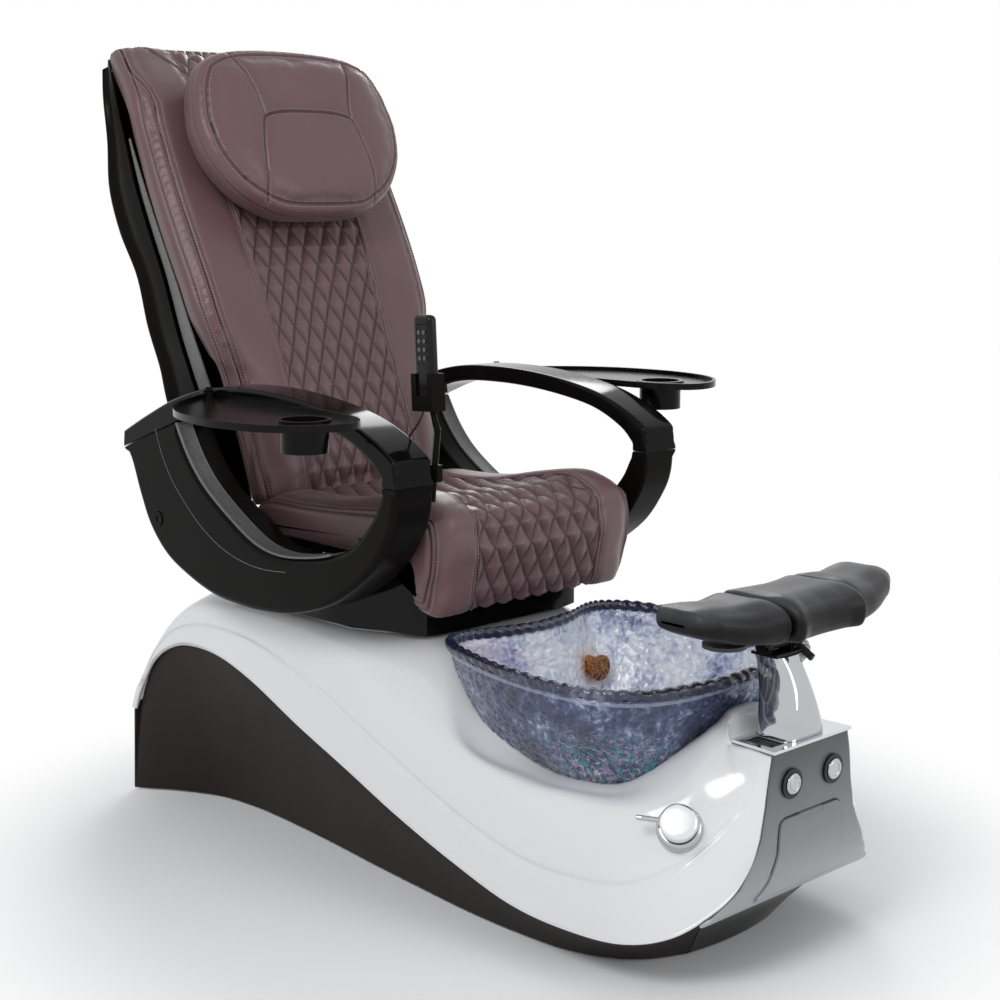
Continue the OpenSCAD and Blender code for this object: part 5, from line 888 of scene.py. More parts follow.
def stitching(name, lines, material, pitch=0.0058, length=0.0042, width=0.0014):
    """Rows of stitches along lines of points, made by a tree of geometry nodes and turned to a mesh."""
    mesh = bpy.data.meshes.new(name)
    verts, edges = [], []
    for line in lines:
        n = len(verts)
        verts += [tuple(p) for p in line]
        edges += [(n + k, n + k + 1) for k in range(len(line) - 1)]
    mesh.from_pydata(verts, edges, [])
    ob = linked(name, mesh)
    group = bpy.data.node_groups.new(name + "_rule", "GeometryNodeTree")
    face = group.interface
    face.new_socket("Geometry", in_out="INPUT", socket_type="NodeSocketGeometry")
    sizes = {}
    for label, value in (("Stitch pitch", pitch), ("Stitch length", length), ("Stitch width", width)):
        sizes[face.new_socket(label, in_out="INPUT", socket_type="NodeSocketFloat").identifier] = value
    face.new_socket("Geometry", in_out="OUTPUT", socket_type="NodeSocketGeometry")
    into = node(group, "NodeGroupInput").outputs
    curve = node(group, "GeometryNodeMeshToCurve", Mesh=into["Geometry"]).outputs["Curve"]
    places = node(group, "GeometryNodeResampleCurve", mode="LENGTH", Curve=curve,
        Length=into["Stitch pitch"]).outputs["Curve"]
    ball = node(group, "GeometryNodeMeshIcoSphere", Radius=0.5, Subdivisions=1).outputs["Mesh"]
    way = node(group, "GeometryNodeInputTangent").outputs["Tangent"]
    turn = node(group, "FunctionNodeAlignRotationToVector", axis="X", Vector=way).outputs["Rotation"]
    size = node(group, "ShaderNodeCombineXYZ", X=into["Stitch length"], Y=into["Stitch width"],
        Z=into["Stitch width"]).outputs["Vector"]
    stitches = node(group, "GeometryNodeInstanceOnPoints", Points=places, Instance=ball, Rotation=turn,
        Scale=size).outputs["Instances"]
    real = node(group, "GeometryNodeRealizeInstances", Geometry=stitches).outputs["Geometry"]
    smooth = node(group, "GeometryNodeSetShadeSmooth", Geometry=real).outputs["Geometry"]
    node(group, "NodeGroupOutput", Geometry=node(group, "GeometryNodeSetMaterial", Geometry=smooth,
        Material=material).outputs["Geometry"])
    rule = ob.modifiers.new("stitches", "NODES")
    rule.node_group = group
    for identifier, value in sizes.items():
        rule[identifier] = value
    made = bpy.data.meshes.new_from_object(ob.evaluated_get(bpy.context.evaluated_depsgraph_get()))
    bpy.data.objects.remove(ob)
    made.name = name
    if not made.materials:
        made.materials.append(material)
    return linked(name, made)

def mark(ob, **values):
    """Writes values for a piece's first points as attributes of its mesh, with 0 for the rest."""
    for key, value in values.items():
        paint = ob.data.attributes.new(key, "FLOAT", "POINT")
        flat = np.zeros(len(ob.data.vertices))
        value = np.asarray(value, float).ravel()
        flat[:len(value)] = value
        paint.data.foreach_set("value", flat)

# ---- Seat cushion ----
# A one-piece foam cushion in sewn leather that rolls over the front of the pan: quilted down its
# middle between two double seams, with a piped edge along each side.
SEAT_W, SEAT_LEN, SEAT_FRONT, CREST, APRON = 0.500, 0.533, -0.134, 0.692, 0.489
PAN_TOP, SEAT_ROUND = 0.575, 0.016
SEAT_CROWN = np.array([[0, 0], [0.5, 3], [0.62, 11], [0.78, 13], [0.9, 9], [1, 0]])

def seat_section(x):
    """The cushion's side outline at x from the middle, from the rear edge over the top and down."""
    u = min(abs(x) / (SEAT_W / 2), 1)
    b = float(table(SEAT_CROWN, u)) / 1000
    side = float(step(np.array((u - 0.80) / 0.20), 0, 1))
    rear, low = SEAT_FRONT + SEAT_LEN, CREST - 0.056 + b * 0.3
    nose, top, drop = SEAT_FRONT + 0.010 * side, CREST - 0.014 + b - 0.012 * side, 0.026 * side ** 3
    m = 0.001
    return np.array([
        [rear, PAN_TOP + 18 * m], [rear - 10 * m, PAN_TOP + 42 * m], [rear - 48 * m, low + 3 * m * side],
        [rear - 130 * m, low + 5 * m + 6 * m * side], [rear - 240 * m, low + 15 * m + 2 * m * side],
        [rear - 340 * m, top - 16 * m + 9 * m * side], [-40 * m, top + 1 * m], [-84 * m, top - 2 * m],
        [-112 * m, top - 10 * m], [nose + 5 * m, top - 26 * m], [nose, top - 56 * m], [nose + 3 * m,
        top - 96 * m], [nose + 10 * m, APRON + 62 * m], [nose + 16 * m, APRON + 22 * m + drop],
        [nose + 24 * m, APRON + 3 * m + drop], [nose + 42 * m, APRON + drop], [nose + 58 * m, APRON + 6 * m
        + drop], [-64 * m, APRON + 30 * m + drop], [-62 * m, PAN_TOP - 22 * m], [-56 * m, PAN_TOP],
        [-20 * m, PAN_TOP], [120 * m, PAN_TOP], [260 * m, PAN_TOP], [rear - 20 * m, PAN_TOP]])

def round_curve(points, k):
    """Points of a smooth closed line through a list of points, at places k counted in points."""
    pts = np.concatenate([points[-1:], points, points[:2]])
    i = np.minimum(k.astype(int), len(points) - 1)
    return eased(pts[i], pts[i + 1], pts[i + 2], pts[i + 3], (k - i)[:, None])

def lengths(lines):
    """Arc lengths from the start of each line of points to its points."""
    gone = np.cumsum(np.linalg.norm(np.diff(lines, axis=-2), axis=-1), axis=-1)
    return np.concatenate([np.zeros(gone.shape[:-1] + (1,)), gone], -1)

# the section has 24 points, and what shows of the cushion ends at point 17, behind the apron
POINTS, LAST_SEEN, SEEN_ROWS = 24, 17, 331
mid_k = np.linspace(0, POINTS, 40 * POINTS + 1)
mid_s = lengths(round_curve(seat_section(0.0), mid_k))
SHOWN = float(np.interp(LAST_SEEN, mid_k, mid_s))
ring_k = np.concatenate([np.interp(np.linspace(0, SHOWN, SEEN_ROWS), mid_s, mid_k),
    np.linspace(LAST_SEEN, POINTS, 30)[1:-1]])

def seat_ring(x, inset, places):
    """The cushion's section at x, moved in by inset, at places counted in the section's points."""
    inset += rounding(SEAT_W / 2 - abs(x), SEAT_ROUND)
    p = round_curve(seat_section(x), places)
    way = np.gradient(p, axis=0)
    inward = -np.sign(np.cross(way, p - p.mean(0)).sum() or 1)
    p = p + inward * inset * unit(np.stack([-way[:, 1], way[:, 0]], 1))
    return np.stack([np.full(len(places), x), p[:, 0], p[:, 1]], 1)

half_cols = np.concatenate([np.linspace(0, 0.142, 62), np.linspace(0.1440, 0.158, 10), np.linspace(0.164,
    0.228, 12), np.linspace(0.2305, 0.2460, 11), 0.2500 - 0.0026 * (1 - np.sin(np.linspace(0.15, 1, 4)
    * np.pi / 2))])
cols = np.concatenate([-half_cols[::-1], half_cols[1:]])

def outward(rings):
    """Normals of closed rings of points, turned away from their middle."""
    n = ring_normals(rings)
    return n if ((rings - rings.mean((0, 1))) * n).sum() >= 0 else -n

coarse_k = np.linspace(0, POINTS, 97)[:-1]
blank = [seat_ring(x, 0.0050, coarse_k) for x in np.linspace(-0.2445, 0.2445, 46)]
swell = stuffing("seat", blank, 0.006, 0.0105, lambda p: step(p[:, 2], 0.576, 0.600)
    + (p[:, 1] < -0.078) * (1 - step(p[:, 2], 0.576, 0.600)) * 0.6)
rings = np.array([seat_ring(x, 0.0042, ring_k) for x in cols])
rings = rings + swell(rings)
n_out = outward(rings)
arc = np.interp(ring_k, mid_k, mid_s)[None]
xx = cols[:, None]
shown = (np.arange(len(ring_k)) < SEEN_ROWS)[None] * 1.0
QUILT_X, QUILT_WIDE, QUILT_TALL = 0.148, 0.0430, 0.0720
d = quilting(xx + 0.0 * arc, arc, QUILT_WIDE, QUILT_TALL)
in_quilt = (1 - step(np.abs(xx), QUILT_X - 0.003, QUILT_X)) * shown
puffed = quilted(d, 0.0085, 0.0052)
border = seam_profile(np.abs(xx) - QUILT_X, 0.0022) * shown
border2 = seam_profile(np.abs(xx) - (QUILT_X + 0.0085), 0.0012) * shown
edge = seam_profile(np.abs(xx) - 0.2360, 0.0016) * shown
piping = seam_profile(np.abs(xx) - 0.2395, 0.0022) * shown
side_seam = seam_profile(np.abs(xx) - 0.2432, 0.0014) * shown
roll = step(np.abs(xx), QUILT_X + 0.002, QUILT_X + 0.022) * (1 - step(np.abs(xx), 0.21, 0.232)) * 0.0026
height = puffed * in_quilt + (1 - in_quilt) * roll * shown - 0.0042 * border - 0.0011 * border2 \
    - 0.0024 * edge + 0.0016 * piping - 0.0028 * side_seam
rings = rings + n_out * height[..., None]
rings[..., 2] += 0.0040 * step(rings[..., 1], 0.22, 0.34) * step(rings[..., 2], 0.598, 0.622)
# painted shade along the seams and a painted highlight on the puffs and the rolls
seam_shade = np.clip(seam_profile(d, 0.0021) * in_quilt * 0.95 + border * 0.9 + border2 * 0.45 + edge * 0.75
    + side_seam * 0.85, 0, 1)
crown_highlight = np.clip((puffed / 0.0025) * in_quilt * 0.5 + (1 - in_quilt) * roll / 0.0026 * 0.35, 0, 1) * shown
rings[..., 0] = np.clip(rings[..., 0], -0.2535, 0.2535)
seat = loft("seat_leather", rings, 75)
mark(seat, seam=seam_shade, swell=crown_highlight)
fit(seat, mauve, "seat_cushion")

def on_seat(x, s, lift=0.0004):
    """A point on the finished cushion at x across and arc length s along it."""
    j = np.interp(s, arc[0, :SEEN_ROWS], np.arange(SEEN_ROWS))
    i = np.interp(x, cols, np.arange(len(cols)))
    return along_grid(rings, i, j) + lift * along_grid(n_out, i, j)

dark_thread = finish("dark_thread", (0.115, 0.068, 0.074), 0.6, tone=0.1, tone_scale=60, grain=0.2,
    grain_scale=2500)
rows_of = []
s_top = SHOWN - 0.02
for sign in (-1, 1):
    for k in range(-24, 40):
        # lines of constant a or b: x / wide + sign * s / tall = k
        s = np.linspace(0.03, s_top, 400)
        x = (k - sign * s / QUILT_TALL) * QUILT_WIDE
        ok = np.abs(x) < QUILT_X - 0.004
        if ok.sum() > 8:
            rows_of.append(on_seat(x[ok], s[ok]))
fit(stitching("seat_quilt_stitches", rows_of, dark_thread), None, "seat_cushion", False)
rows_of = []
for side in (-1, 1):
    for off in (QUILT_X - 0.0038, QUILT_X + 0.0046, QUILT_X + 0.0124, 0.2322):
        s = np.linspace(0.03, s_top, 420)
        rows_of.append(on_seat(np.full(420, side * off), s))
fit(stitching("seat_stitches", rows_of, thread), None, "seat_cushion", False)

# ---- Seat plinth ----
# The fixed box under the seat: 4 mm ABS with a gloss black acrylic face, standing on the shell's deck.
dress("seat_plinth", 0.0012, black_gloss, segments=3)

# ---- Arms ----
# Two arched arms in satin black ABS, each with softly rounded edges, a thin pale shut line round its
# opening and a round cap over the bolt that holds it to the seat's frame.
ARM_OUT = np.array([[680, 717], [660, 690], [634, 630], [600, 570], [546, 521], [475, 490], [394, 468],
    [316, 462], [240, 463], [150, 474], [54, 503], [-20, 543], [-83, 592], [-125, 650], [-141, 690],
    [-145, 732]]) / 1000
ARM_IN = np.array([[-111, 732], [-100, 712], [-79, 676], [-28, 624], [34, 596], [110, 580], [185, 574],
    [255, 586], [335, 624], [412, 672], [462, 722], [500, 780]]) / 1000
ARM_X0, ARM_X1, ARM_DROP = 0.261, 0.343, np.array([0, -0.0007])
satin_black = finish("satin_black_abs", (0.0046, 0.0038, 0.0034), 0.25, tone=0.16, tone_scale=3,
    grain=0.06, grain_scale=1300, rough_vary=0.05, specular=0.05)
pale_edge = finish("pale_bead", (0.20, 0.20, 0.20), 0.34, tone=0.05, grain=0.1)

def inset_loop(loop, d):
    """A closed outline moved in by a distance, with its corners mitred."""
    before, after = unit(loop - np.roll(loop, 1, 0)), unit(np.roll(loop, -1, 0) - loop)
    n0 = np.stack([-before[:, 1], before[:, 0]], 1)
    n1 = np.stack([-after[:, 1], after[:, 0]], 1)
    way = unit(n0 + n1)
    share = np.clip((way * n0).sum(1), 0.5, 1)[:, None]
    area = (loop[:, 0] * np.roll(loop[:, 1], -1) - np.roll(loop[:, 0], -1) * loop[:, 1]).sum()
    return loop + (d if area > 0 else -d) * way / share

def away_from(points, a, b):
    """Distances of flat points from the straight line between two points."""
    k = np.clip(((points - a) @ (b - a)) / ((b - a) @ (b - a)), 0, 1)
    return np.linalg.norm(points - (a + k[:, None] * (b - a)), axis=1)

def rounded_plate(name, loop, x0, x1, r0, r1, side=1, tight=(), sharp=50):
    """A plate of a closed outline (y, z) between two planes of x, its edges rounded by r0 and r1, but
    almost sharp beside each line in tight, where another piece meets it."""
    turn0, turn1 = np.linspace(0, np.pi / 2, 7), np.linspace(0, np.pi / 2, 9)
    levels = [(x0 + r0 * (1 - math.sin(a)), r0 * (1 - math.cos(a)), x0) for a in turn0[::-1]]
    levels += [(x1 - r1 * (1 - math.sin(a)), r1 * (1 - math.cos(a)), x1) for a in turn1]
    keen = np.ones(len(loop))
    for a, b in tight:
        keen *= 0.10 + 0.90 * step(away_from(loop, np.array(a), np.array(b)), 0.004, 0.016)
    bm = bmesh.new()
    lines = []
    for x, d, edge in levels:
        flat = inset_loop(loop, (d * keen)[:, None])
        lines.append([bm.verts.new((side * (edge + (x - edge) * k), y, z)) for (y, z), k in zip(flat, keen)])
    for a, b in zip(lines[:-1], lines[1:]):
        for k in range(len(a)):
            j = (k + 1) % len(a)
            bm.faces.new((a[k], a[j], b[j], b[k]))
    for line in (lines[0], lines[-1]):
        edges = [bm.edges.get((line[k], line[(k + 1) % len(line)])) for k in range(len(line))]
        bmesh.ops.triangle_fill(bm, use_beauty=True, use_dissolve=False, edges=edges)
    mesh = bpy.data.meshes.new(name)
    bm.to_mesh(mesh)
    bm.free()
    ob = finish_mesh(name, mesh, sharp)
    weigh_normals(ob)
    return ob

arm_loop = np.concatenate([strand(ARM_OUT, np.linspace(0, 1, 181)), strand(ARM_IN, np.linspace(0, 1, 131))])
arm_loop = arm_loop + ARM_DROP
SHUT_LINE = np.array([[567, 764], [546, 715], [514, 670], [472, 632], [424, 596], [366, 567], [300, 549],
    [230, 543], [160, 548]]) / 1000
ARM_SEATS = (((0.500, 0.780), (0.680, 0.717)), ((-0.145, 0.732), (-0.111, 0.732)))
for side, tag, hidden in ((1, "far", "arm_left"), (-1, "near", "arm_right")):
    arm = rounded_plate("arm_" + tag, arm_loop, ARM_X0, ARM_X1, 0.006, 0.0125, side, ARM_SEATS)
    fit(arm, satin_black, hidden)
    line = strand(SHUT_LINE, np.linspace(0, 1, 81))
    bead = tube("arm_shut_line_" + tag, [(side * (ARM_X1 - 0.00015), y, z) for y, z in line], 0.0005, 8)
    fit(bead, pale_edge, hidden, False)

# ---- Arm liners ----
# A grained grey ABS strip that lines the lower part of each arm's opening, with a pale edge each side.
grained_grey = finish("grained_grey_abs", (0.125, 0.124, 0.122), 0.42, tone=0.75, tone_scale=260, grain=0.7,
    grain_scale=480, grain_kind="cell", specular=0.35)
path = strand(ARM_IN, np.linspace(0.36, 1, 141)) + ARM_DROP
way = unit(np.gradient(path, axis=0))
into = np.stack([-way[:, 1], way[:, 0]], 1)
X0, X1 = ARM_X0 + 0.0459, ARM_X1 - 0.001
section = [(X0, 0.0004), (X0, 0.0034), (X0 + 0.0005, 0.0041), (X0 + 0.0012, 0.0044), (X0 + 0.0030, 0.0044),
    (X0 + 0.0036, 0.0040), (X1 - 0.0036, 0.0040), (X1 - 0.0030, 0.0044), (X1 - 0.0012, 0.0044),
    (X1 - 0.0005, 0.0041), (X1, 0.0034), (X1, 0.0004)]
rings = np.array([[(x, *(p + q * d)) for x, d in section] for p, q in zip(path, into)])

def merged(name, pieces, sharp=38):
    """One piece in place of several."""
    bm = bmesh.new()
    for one in pieces:
        bm.from_mesh(one.data)
        bpy.data.objects.remove(one)
    mesh = bpy.data.meshes.new(name)
    bm.to_mesh(mesh)
    bm.free()
    return finish_mesh(name, mesh, sharp)

liner = merged("arm_liners_grained", [loft("liner_half", rings * [side, 1, 1], 40) for side in (1, -1)], 40)
fit(liner, grained_grey, "arm_liners")
liner.data.materials.append(pale_edge)
for p in liner.data.polygons:
    if min(abs(abs(p.center.x) - X0), abs(abs(p.center.x) - X1)) < 0.0031 and abs(p.normal.x) < 0.8:
        p.material_index = 1
dress("arm_bolts", 0.0007, satin_black, segments=2)

# ---- Arm caps ----
# High-gloss black acrylic caps, moulded over the top of each arm from its front edge to its heel.
CAP_TOP = np.array([[-145, 732], [-142, 762], [-134, 780], [-80, 810], [4, 838], [128, 857], [260, 863],
    [386, 855], [500, 826], [600, 786], [683, 748]]) / 1000
CAP_LOW = np.array([[682, 718], [610, 744], [500, 782], [386, 822], [260, 831], [128, 825], [4, 806],
    [-70, 776], [-104, 748], [-111, 732]]) / 1000
cap_loop = np.concatenate([strand(CAP_TOP, np.linspace(0, 1, 161)), strand(CAP_LOW, np.linspace(0, 1, 131))])
cap_loop = cap_loop + [0, 0.0004]
cap_loop[:, 1] = np.where(cap_loop[:, 0] < 0, np.maximum(cap_loop[:, 1], 0.7319), cap_loop[:, 1])
cap_black = finish("cap_gloss_black", (0.0042, 0.0037, 0.0036), 0.10, tone=0.1, grain=0.012,
    grain_scale=200, rough_vary=0.03, specular=0.09)
for side, tag, hidden in ((1, "far", "cap_left"), (-1, "near", "cap_right")):
    cap = rounded_plate("arm_cap_" + tag, cap_loop, ARM_X0, ARM_X1, 0.0065, 0.0065, side, ARM_SEATS)
    fit(cap, cap_black, hidden)

# ---- Trays ----
# Two swing trays moulded in gloss black ABS with a rolled rim and a cup well, each on a pin in a lug
# that is screwed to the outside of its arm.
tray_black = finish("tray_gloss_black", (0.0045, 0.0040, 0.0040), 0.19, tone=0.1, grain=0.02,
    grain_scale=260, rough_vary=0.04, specular=0.11)
for name in ("tray_left", "tray_right"):
    dress(name, 0.0020, tray_black, segments=4, angle=28)
dress("tray_pivots", 0.0012, satin_black, segments=3)

# ---- Back cushion ----
# Foam bonded to the back's frame under one sewn leather cover: a diamond-quilted middle inside a piped
# border, a smooth panel each side, a stitched double seam and a bound edge.
BACK_EDGE = np.array([[236, 412, 628], [242, 450, 750], [252, 472, 849], [268, 474, 900], [286, 488, 975],
    [291, 517, 1045], [294, 560, 1130], [294, 610, 1222], [291, 665, 1325], [286, 700, 1405],
    [262, 800, 1486]]) / 1000
BACK_QUILT = np.array([[135, 350, 641], [135, 386, 750], [135, 426, 849], [134, 446, 900], [136, 478, 975],
    [139, 508, 1045], [143, 552, 1130], [145, 600, 1222], [147, 648, 1325], [148, 692, 1405],
    [140, 796, 1490]]) / 1000
BACK_T, BACK_ROUND = 0.046, 0.016

def back_face(t, s):
    """Points of the cover's face at shares t of its height and s of its width."""
    e, q = strand(BACK_EDGE, t), strand(BACK_QUILT, t)
    c = q * [0, 1, 1] + [0, 0.009, 0.002]
    o = q + (e - q) * [0.62, 0.34, 0.6] + [0, -0.003, 0]
    m = np.array([-1, 1, 1])
    rows = np.stack([e * m, o * m, q * m, c, q, o, e])
    return np.swapaxes(strand(rows, s), 0, 1)

def back_rings(t, s, inset, rear_count=24):
    """Closed rings round the cushion: over its face, round its bound edge and back along its rear."""
    face_grid = back_face(t, s)
    n = turned_to(1, face_grid)
    run = lengths(back_face(t, np.array([0.5]))[:, 0])
    to_end = np.minimum(run, run[-1] - run)
    across = lengths(face_grid)
    to_edge = np.minimum(across, across[:, -1:] - across)
    by_edge, by_end = rounding(to_edge, BACK_ROUND), rounding(to_end, BACK_ROUND)[:, None]
    deep = inset + np.minimum(by_edge + 0.45 * by_end, BACK_ROUND)
    hold = BACK_T - 0.001 - np.minimum(by_end, 0.012)
    rear_face = back_face(t, np.linspace(0, 1, rear_count))
    rear = (rear_face + turned_to(1, rear_face) * hold[..., None])[:, ::-1]
    depths = [deep[:, [-1, 0]] * (1 - w) + hold * w for w in (0.45, 0.6, 0.75, 0.88)]
    side = [face_grid[:, -1] + n[:, -1] * d[:, :1] for d in depths]
    other = [face_grid[:, 0] + n[:, 0] * d[:, 1:] for d in depths[::-1]]
    front = face_grid + n * deep[..., None]
    return np.concatenate([front, np.stack(side, 1), rear, np.stack(other, 1)], 1), run, to_edge, to_end

def turned_to(way, grid):
    """Normals of a grid of points, turned forward (-1) or to the rear (1)."""
    n = facing(grid)
    return n if n[..., 1].mean() * way > 0 else -n

coarse, *_ = back_rings(np.linspace(0.004, 0.996, 90), np.linspace(0, 1, 50), 0.0060, rear_count=22)
swell = stuffing("back", coarse, 0.008, 0.0100, lambda p: 1 - 0.75 * (1 - step(p[:, 2], 0.64, 0.70)))
ends = 1 - np.cos(np.linspace(0.1, np.pi / 2, 7))
t = np.concatenate([ends * 0.012, np.linspace(0.0135, 0.9865, 440), 1 - ends[::-1] * 0.012])
s = np.concatenate([(1 - np.cos(np.linspace(0.0, np.pi / 2, 7))) * 0.035, np.linspace(0.043, 0.325, 44),
    np.linspace(0.3283, 0.3383, 5), np.linspace(0.3412, 0.6588, 126), np.linspace(0.6617, 0.6717, 5),
    np.linspace(0.675, 0.957, 44), 1 - (1 - np.cos(np.linspace(np.pi / 2, 0.0, 7))) * 0.035])
rings, run, to_edge, to_end = back_rings(t, s, 0.0050)
# the cover is pulled down over the seat's rear edge and up over the top of the frame
rings[..., 2] += (0.006 * step(run, run[-1] - 0.060, run[-1]) - 0.006 * (1 - step(run, 0, 0.050)))[:, None]
front = rings[:, :len(s)]
push = swell(front)
keep_out = step(to_edge, 0.0, 0.014) * step(to_end, 0.0, 0.014)[:, None]
front = front + push * (0.35 + 0.65 * keep_out[..., None])
BQ_WIDE, BQ_TALL, BQ_HALF = 0.0425, 0.0820, 0.1445
x_face = front[..., 0]
quilt_half = np.abs(strand(BACK_QUILT, t))[:, 0][:, None]
d = quilting(x_face / quilt_half * BQ_HALF, run[:, None], BQ_WIDE, BQ_TALL)
gap_in = quilt_half - np.abs(x_face)
zone = step(gap_in, 0.0005, 0.0035)
puffed = quilted(d, 0.0088, 0.0056)
pipe = seam_profile(gap_in + 0.0035, 0.0026)
pipe_low = seam_profile(gap_in + 0.0002, 0.0017) + seam_profile(gap_in + 0.0070, 0.0014)
smooth_panel = step(-gap_in, 0.006, 0.03) * step(to_edge, 0.034, 0.056) * 0.0030
# the strip beside the binding runs out to nothing under the top flap
strip_w = 0.0125 + 0.0235 * step(run[-1] - run, 0.070, 0.185)[:, None]
seam_a = seam_profile(to_edge - strip_w, 0.0017)
seam_b = seam_profile(to_edge - strip_w - 0.0085, 0.0013)
bind = seam_profile(to_edge - 0.0125, 0.0015)
strip = step(to_edge, 0.014, 0.020) * (1 - step(to_edge, 0.028, 0.035)) * 0.0014
bulge = puffed * zone + 0.0026 * pipe - 0.0026 * pipe_low + smooth_panel * (1 - zone) - 0.0034 * seam_a \
    - 0.0012 * seam_b - 0.0024 * bind + strip
bulge = bulge * step(to_end, 0.002, 0.012)[:, None]
# the top flap folds forward along a slanting seam on each side
fold_a, fold_b = np.array([0.215, 0.002]), np.array([0.128, 0.120])
fold_way = (fold_b - fold_a) / np.linalg.norm(fold_b - fold_a)
fold_off = np.stack([np.abs(x_face) - fold_a[0], (run[-1] - run)[:, None] - fold_a[1] + 0 * x_face], -1)
fold_k = np.clip(fold_off @ fold_way, 0, np.linalg.norm(fold_b - fold_a))
fold_d = np.linalg.norm(fold_off - fold_k[..., None] * fold_way, axis=-1)
side_of = fold_off[..., 0] * fold_way[1] - fold_off[..., 1] * fold_way[0]
fold = seam_profile(fold_d, 0.0022)
bulge = bulge - 0.0034 * fold + 0.0022 * np.exp(-fold_d / 0.010) * (side_of < 0)
n_face = turned_to(-1, front)
# small pulls gather along the stitched seams
gather = 0.00045 * np.sin(run[:, None] / 0.0105 + 3 * np.sin(run[:, None] / 0.06)) * (
    seam_profile(to_edge - 0.040, 0.010) + seam_profile(gap_in + 0.012, 0.008))
front = front + n_face * (bulge + gather)[..., None]
rings[:, :len(s)] = front
# painted shade along the seams, the binding and the fold, and a painted highlight on the puffs, the piping,
# the strip and the smooth panels
seam_shade = np.zeros(rings.shape[:2])
seam_shade[:, :len(s)] = np.clip(seam_profile(d, 0.0021) * zone * 0.95 + 0.80 * pipe_low + 0.7 * seam_a
    + 0.35 * seam_b + 0.6 * bind + 0.8 * fold, 0, 1)
crown_highlight = np.zeros(rings.shape[:2])
crown_highlight[:, :len(s)] = np.clip(puffed / 0.0026 * zone * 0.5 + pipe * 0.4 + strip * 120
    + smooth_panel * 90, 0, 1)
back = loft("back_leather", rings, 75)
mark(back, seam=seam_shade, swell=crown_highlight)
fit(back, mauve, "back_cushion")

def columns(wanted, rows):
    """The fractional column of each row of values at which it comes to the value wanted."""
    return np.array([np.interp(v, r, np.arange(len(r))) for v, r in zip(wanted, rows)])

def on_back(ok, cols_at, lift=0.0004):
    """Points a hair above the finished face, at fractional columns of the rows picked by ok."""
    rows = np.arange(len(t))[ok]
    return along_grid(front, rows, cols_at[ok]) + lift * along_grid(n_face, rows, cols_at[ok])

rows_of = []
inside = (run > 0.016) & (run < run[-1] - 0.016)
mid_col = len(s) // 2
for off, beside in ((0.0095, 0), (0.0155, 0), (-0.0032, 1), (0.0036, 1), (0.0124, 1)):
    # two rows follow the binding, and three the seam beside the strip
    wanted = off + beside * strip_w[:, 0]
    rows_of.append(on_back(inside, columns(wanted, to_edge[:, :mid_col])))
    rows_of.append(on_back(inside, len(s) - 1 - columns(wanted, to_edge[:, ::-1][:, :mid_col])))
for sign in (-1, 1):
    for off in (-0.0100, 0.0040):
        rows_of.append(on_back(inside, columns(sign * (quilt_half[:, 0] - off), x_face)))
fit(stitching("back_stitches", rows_of, thread), None, "back_cushion", False)
rows_of = []
for sign in (-1, 1):
    for k in range(-24, 40):
        want = (k - sign * run / BQ_TALL) * BQ_WIDE
        ok = (np.abs(want) < 0.1395) & inside
        if ok.sum() > 8:
            rows_of.append(on_back(ok, columns(want / BQ_HALF * quilt_half[:, 0], x_face)))
fit(stitching("back_quilt_stitches", rows_of, dark_thread), None, "back_cushion", False)

# ---- Head pillow ----
# A fat foam pillow in the same leather, sewn from a front panel with a rounded-top inset, a border
# seam all round and a gusset; a hidden strap holds it over the top of the back.
PILLOW_MID, PILLOW_LEAN, SINK = np.array([0, 0.551, 1.306]), math.radians(-22.8), 0.0361
PILLOW_SHAPE = np.array([[0, -168], [92, -164], [150, -140], [196, -104], [232, -46], [245, 20], [240, 66],
    [226, 112], [196, 152], [126, 176], [0, 184]]) / 1000
loop = np.concatenate([PILLOW_SHAPE, PILLOW_SHAPE[-2:0:-1] * [-1, 1], PILLOW_SHAPE[:1]])

def pillow_rings(count, levels, inner, shrink):
    """Rings from the pillow's rear over its rim to the middle of its face."""
    edge = strand(loop, np.linspace(0, 1, count + 1)[:-1])
    made = []
    for a in levels:
        l0, l1 = math.sin(a), math.cos(a) ** 0.62
        q = edge * (0.62 + 0.38 * l1)
        reach = np.linalg.norm(edge, axis=1)
        dish = 0.010 * np.cos(np.pi / 2 * np.minimum(reach / 0.245, 1)) * max(-l0, 0)
        deep = l0 * (0.042 + ((SINK + 0.068 * q[:, 1]) if l0 > 0 else 0)) + dish
        deep -= 0.004 * (q[:, 0] / 0.245) ** 2
        made.append(np.stack([q[:, 0], deep, q[:, 1]], 1))
    last = made[-1]
    for k in inner:
        ring = last * [k, 1, k]
        ring[:, 1] = last[:, 1] + (1 - k ** 2) * 0.0015 - (last[:, 1] - last[:, 1].mean()) * (1 - k)
        made.append(ring)
    made = np.array(made)
    return made - outward(made) * shrink

def lean_pillow(p):
    x, y, z = np.moveaxis(p, -1, 0)
    c, s = math.cos(PILLOW_LEAN), math.sin(PILLOW_LEAN)
    return np.stack([x, y * c - z * s, y * s + z * c], -1) + PILLOW_MID

coarse = pillow_rings(72, np.radians(np.linspace(76, -84, 20)), np.linspace(0.94, 0.06, 14), 0.0065)
swell = stuffing("pillow", lean_pillow(coarse), 0.006, 0.0120)
local = pillow_rings(420, np.radians(np.linspace(80, -86, 60)), np.linspace(0.985, 0.012, 90), 0.0055)
world = lean_pillow(local)
world = world + swell(world)
world[..., 2] += 0.0085 * step(local[..., 2], 0.02, 0.175)
n_out = outward(world)
flat = np.stack([local[..., 0], local[..., 2]], -1)
on_front = step(-local[..., 1], 0.012, 0.024)

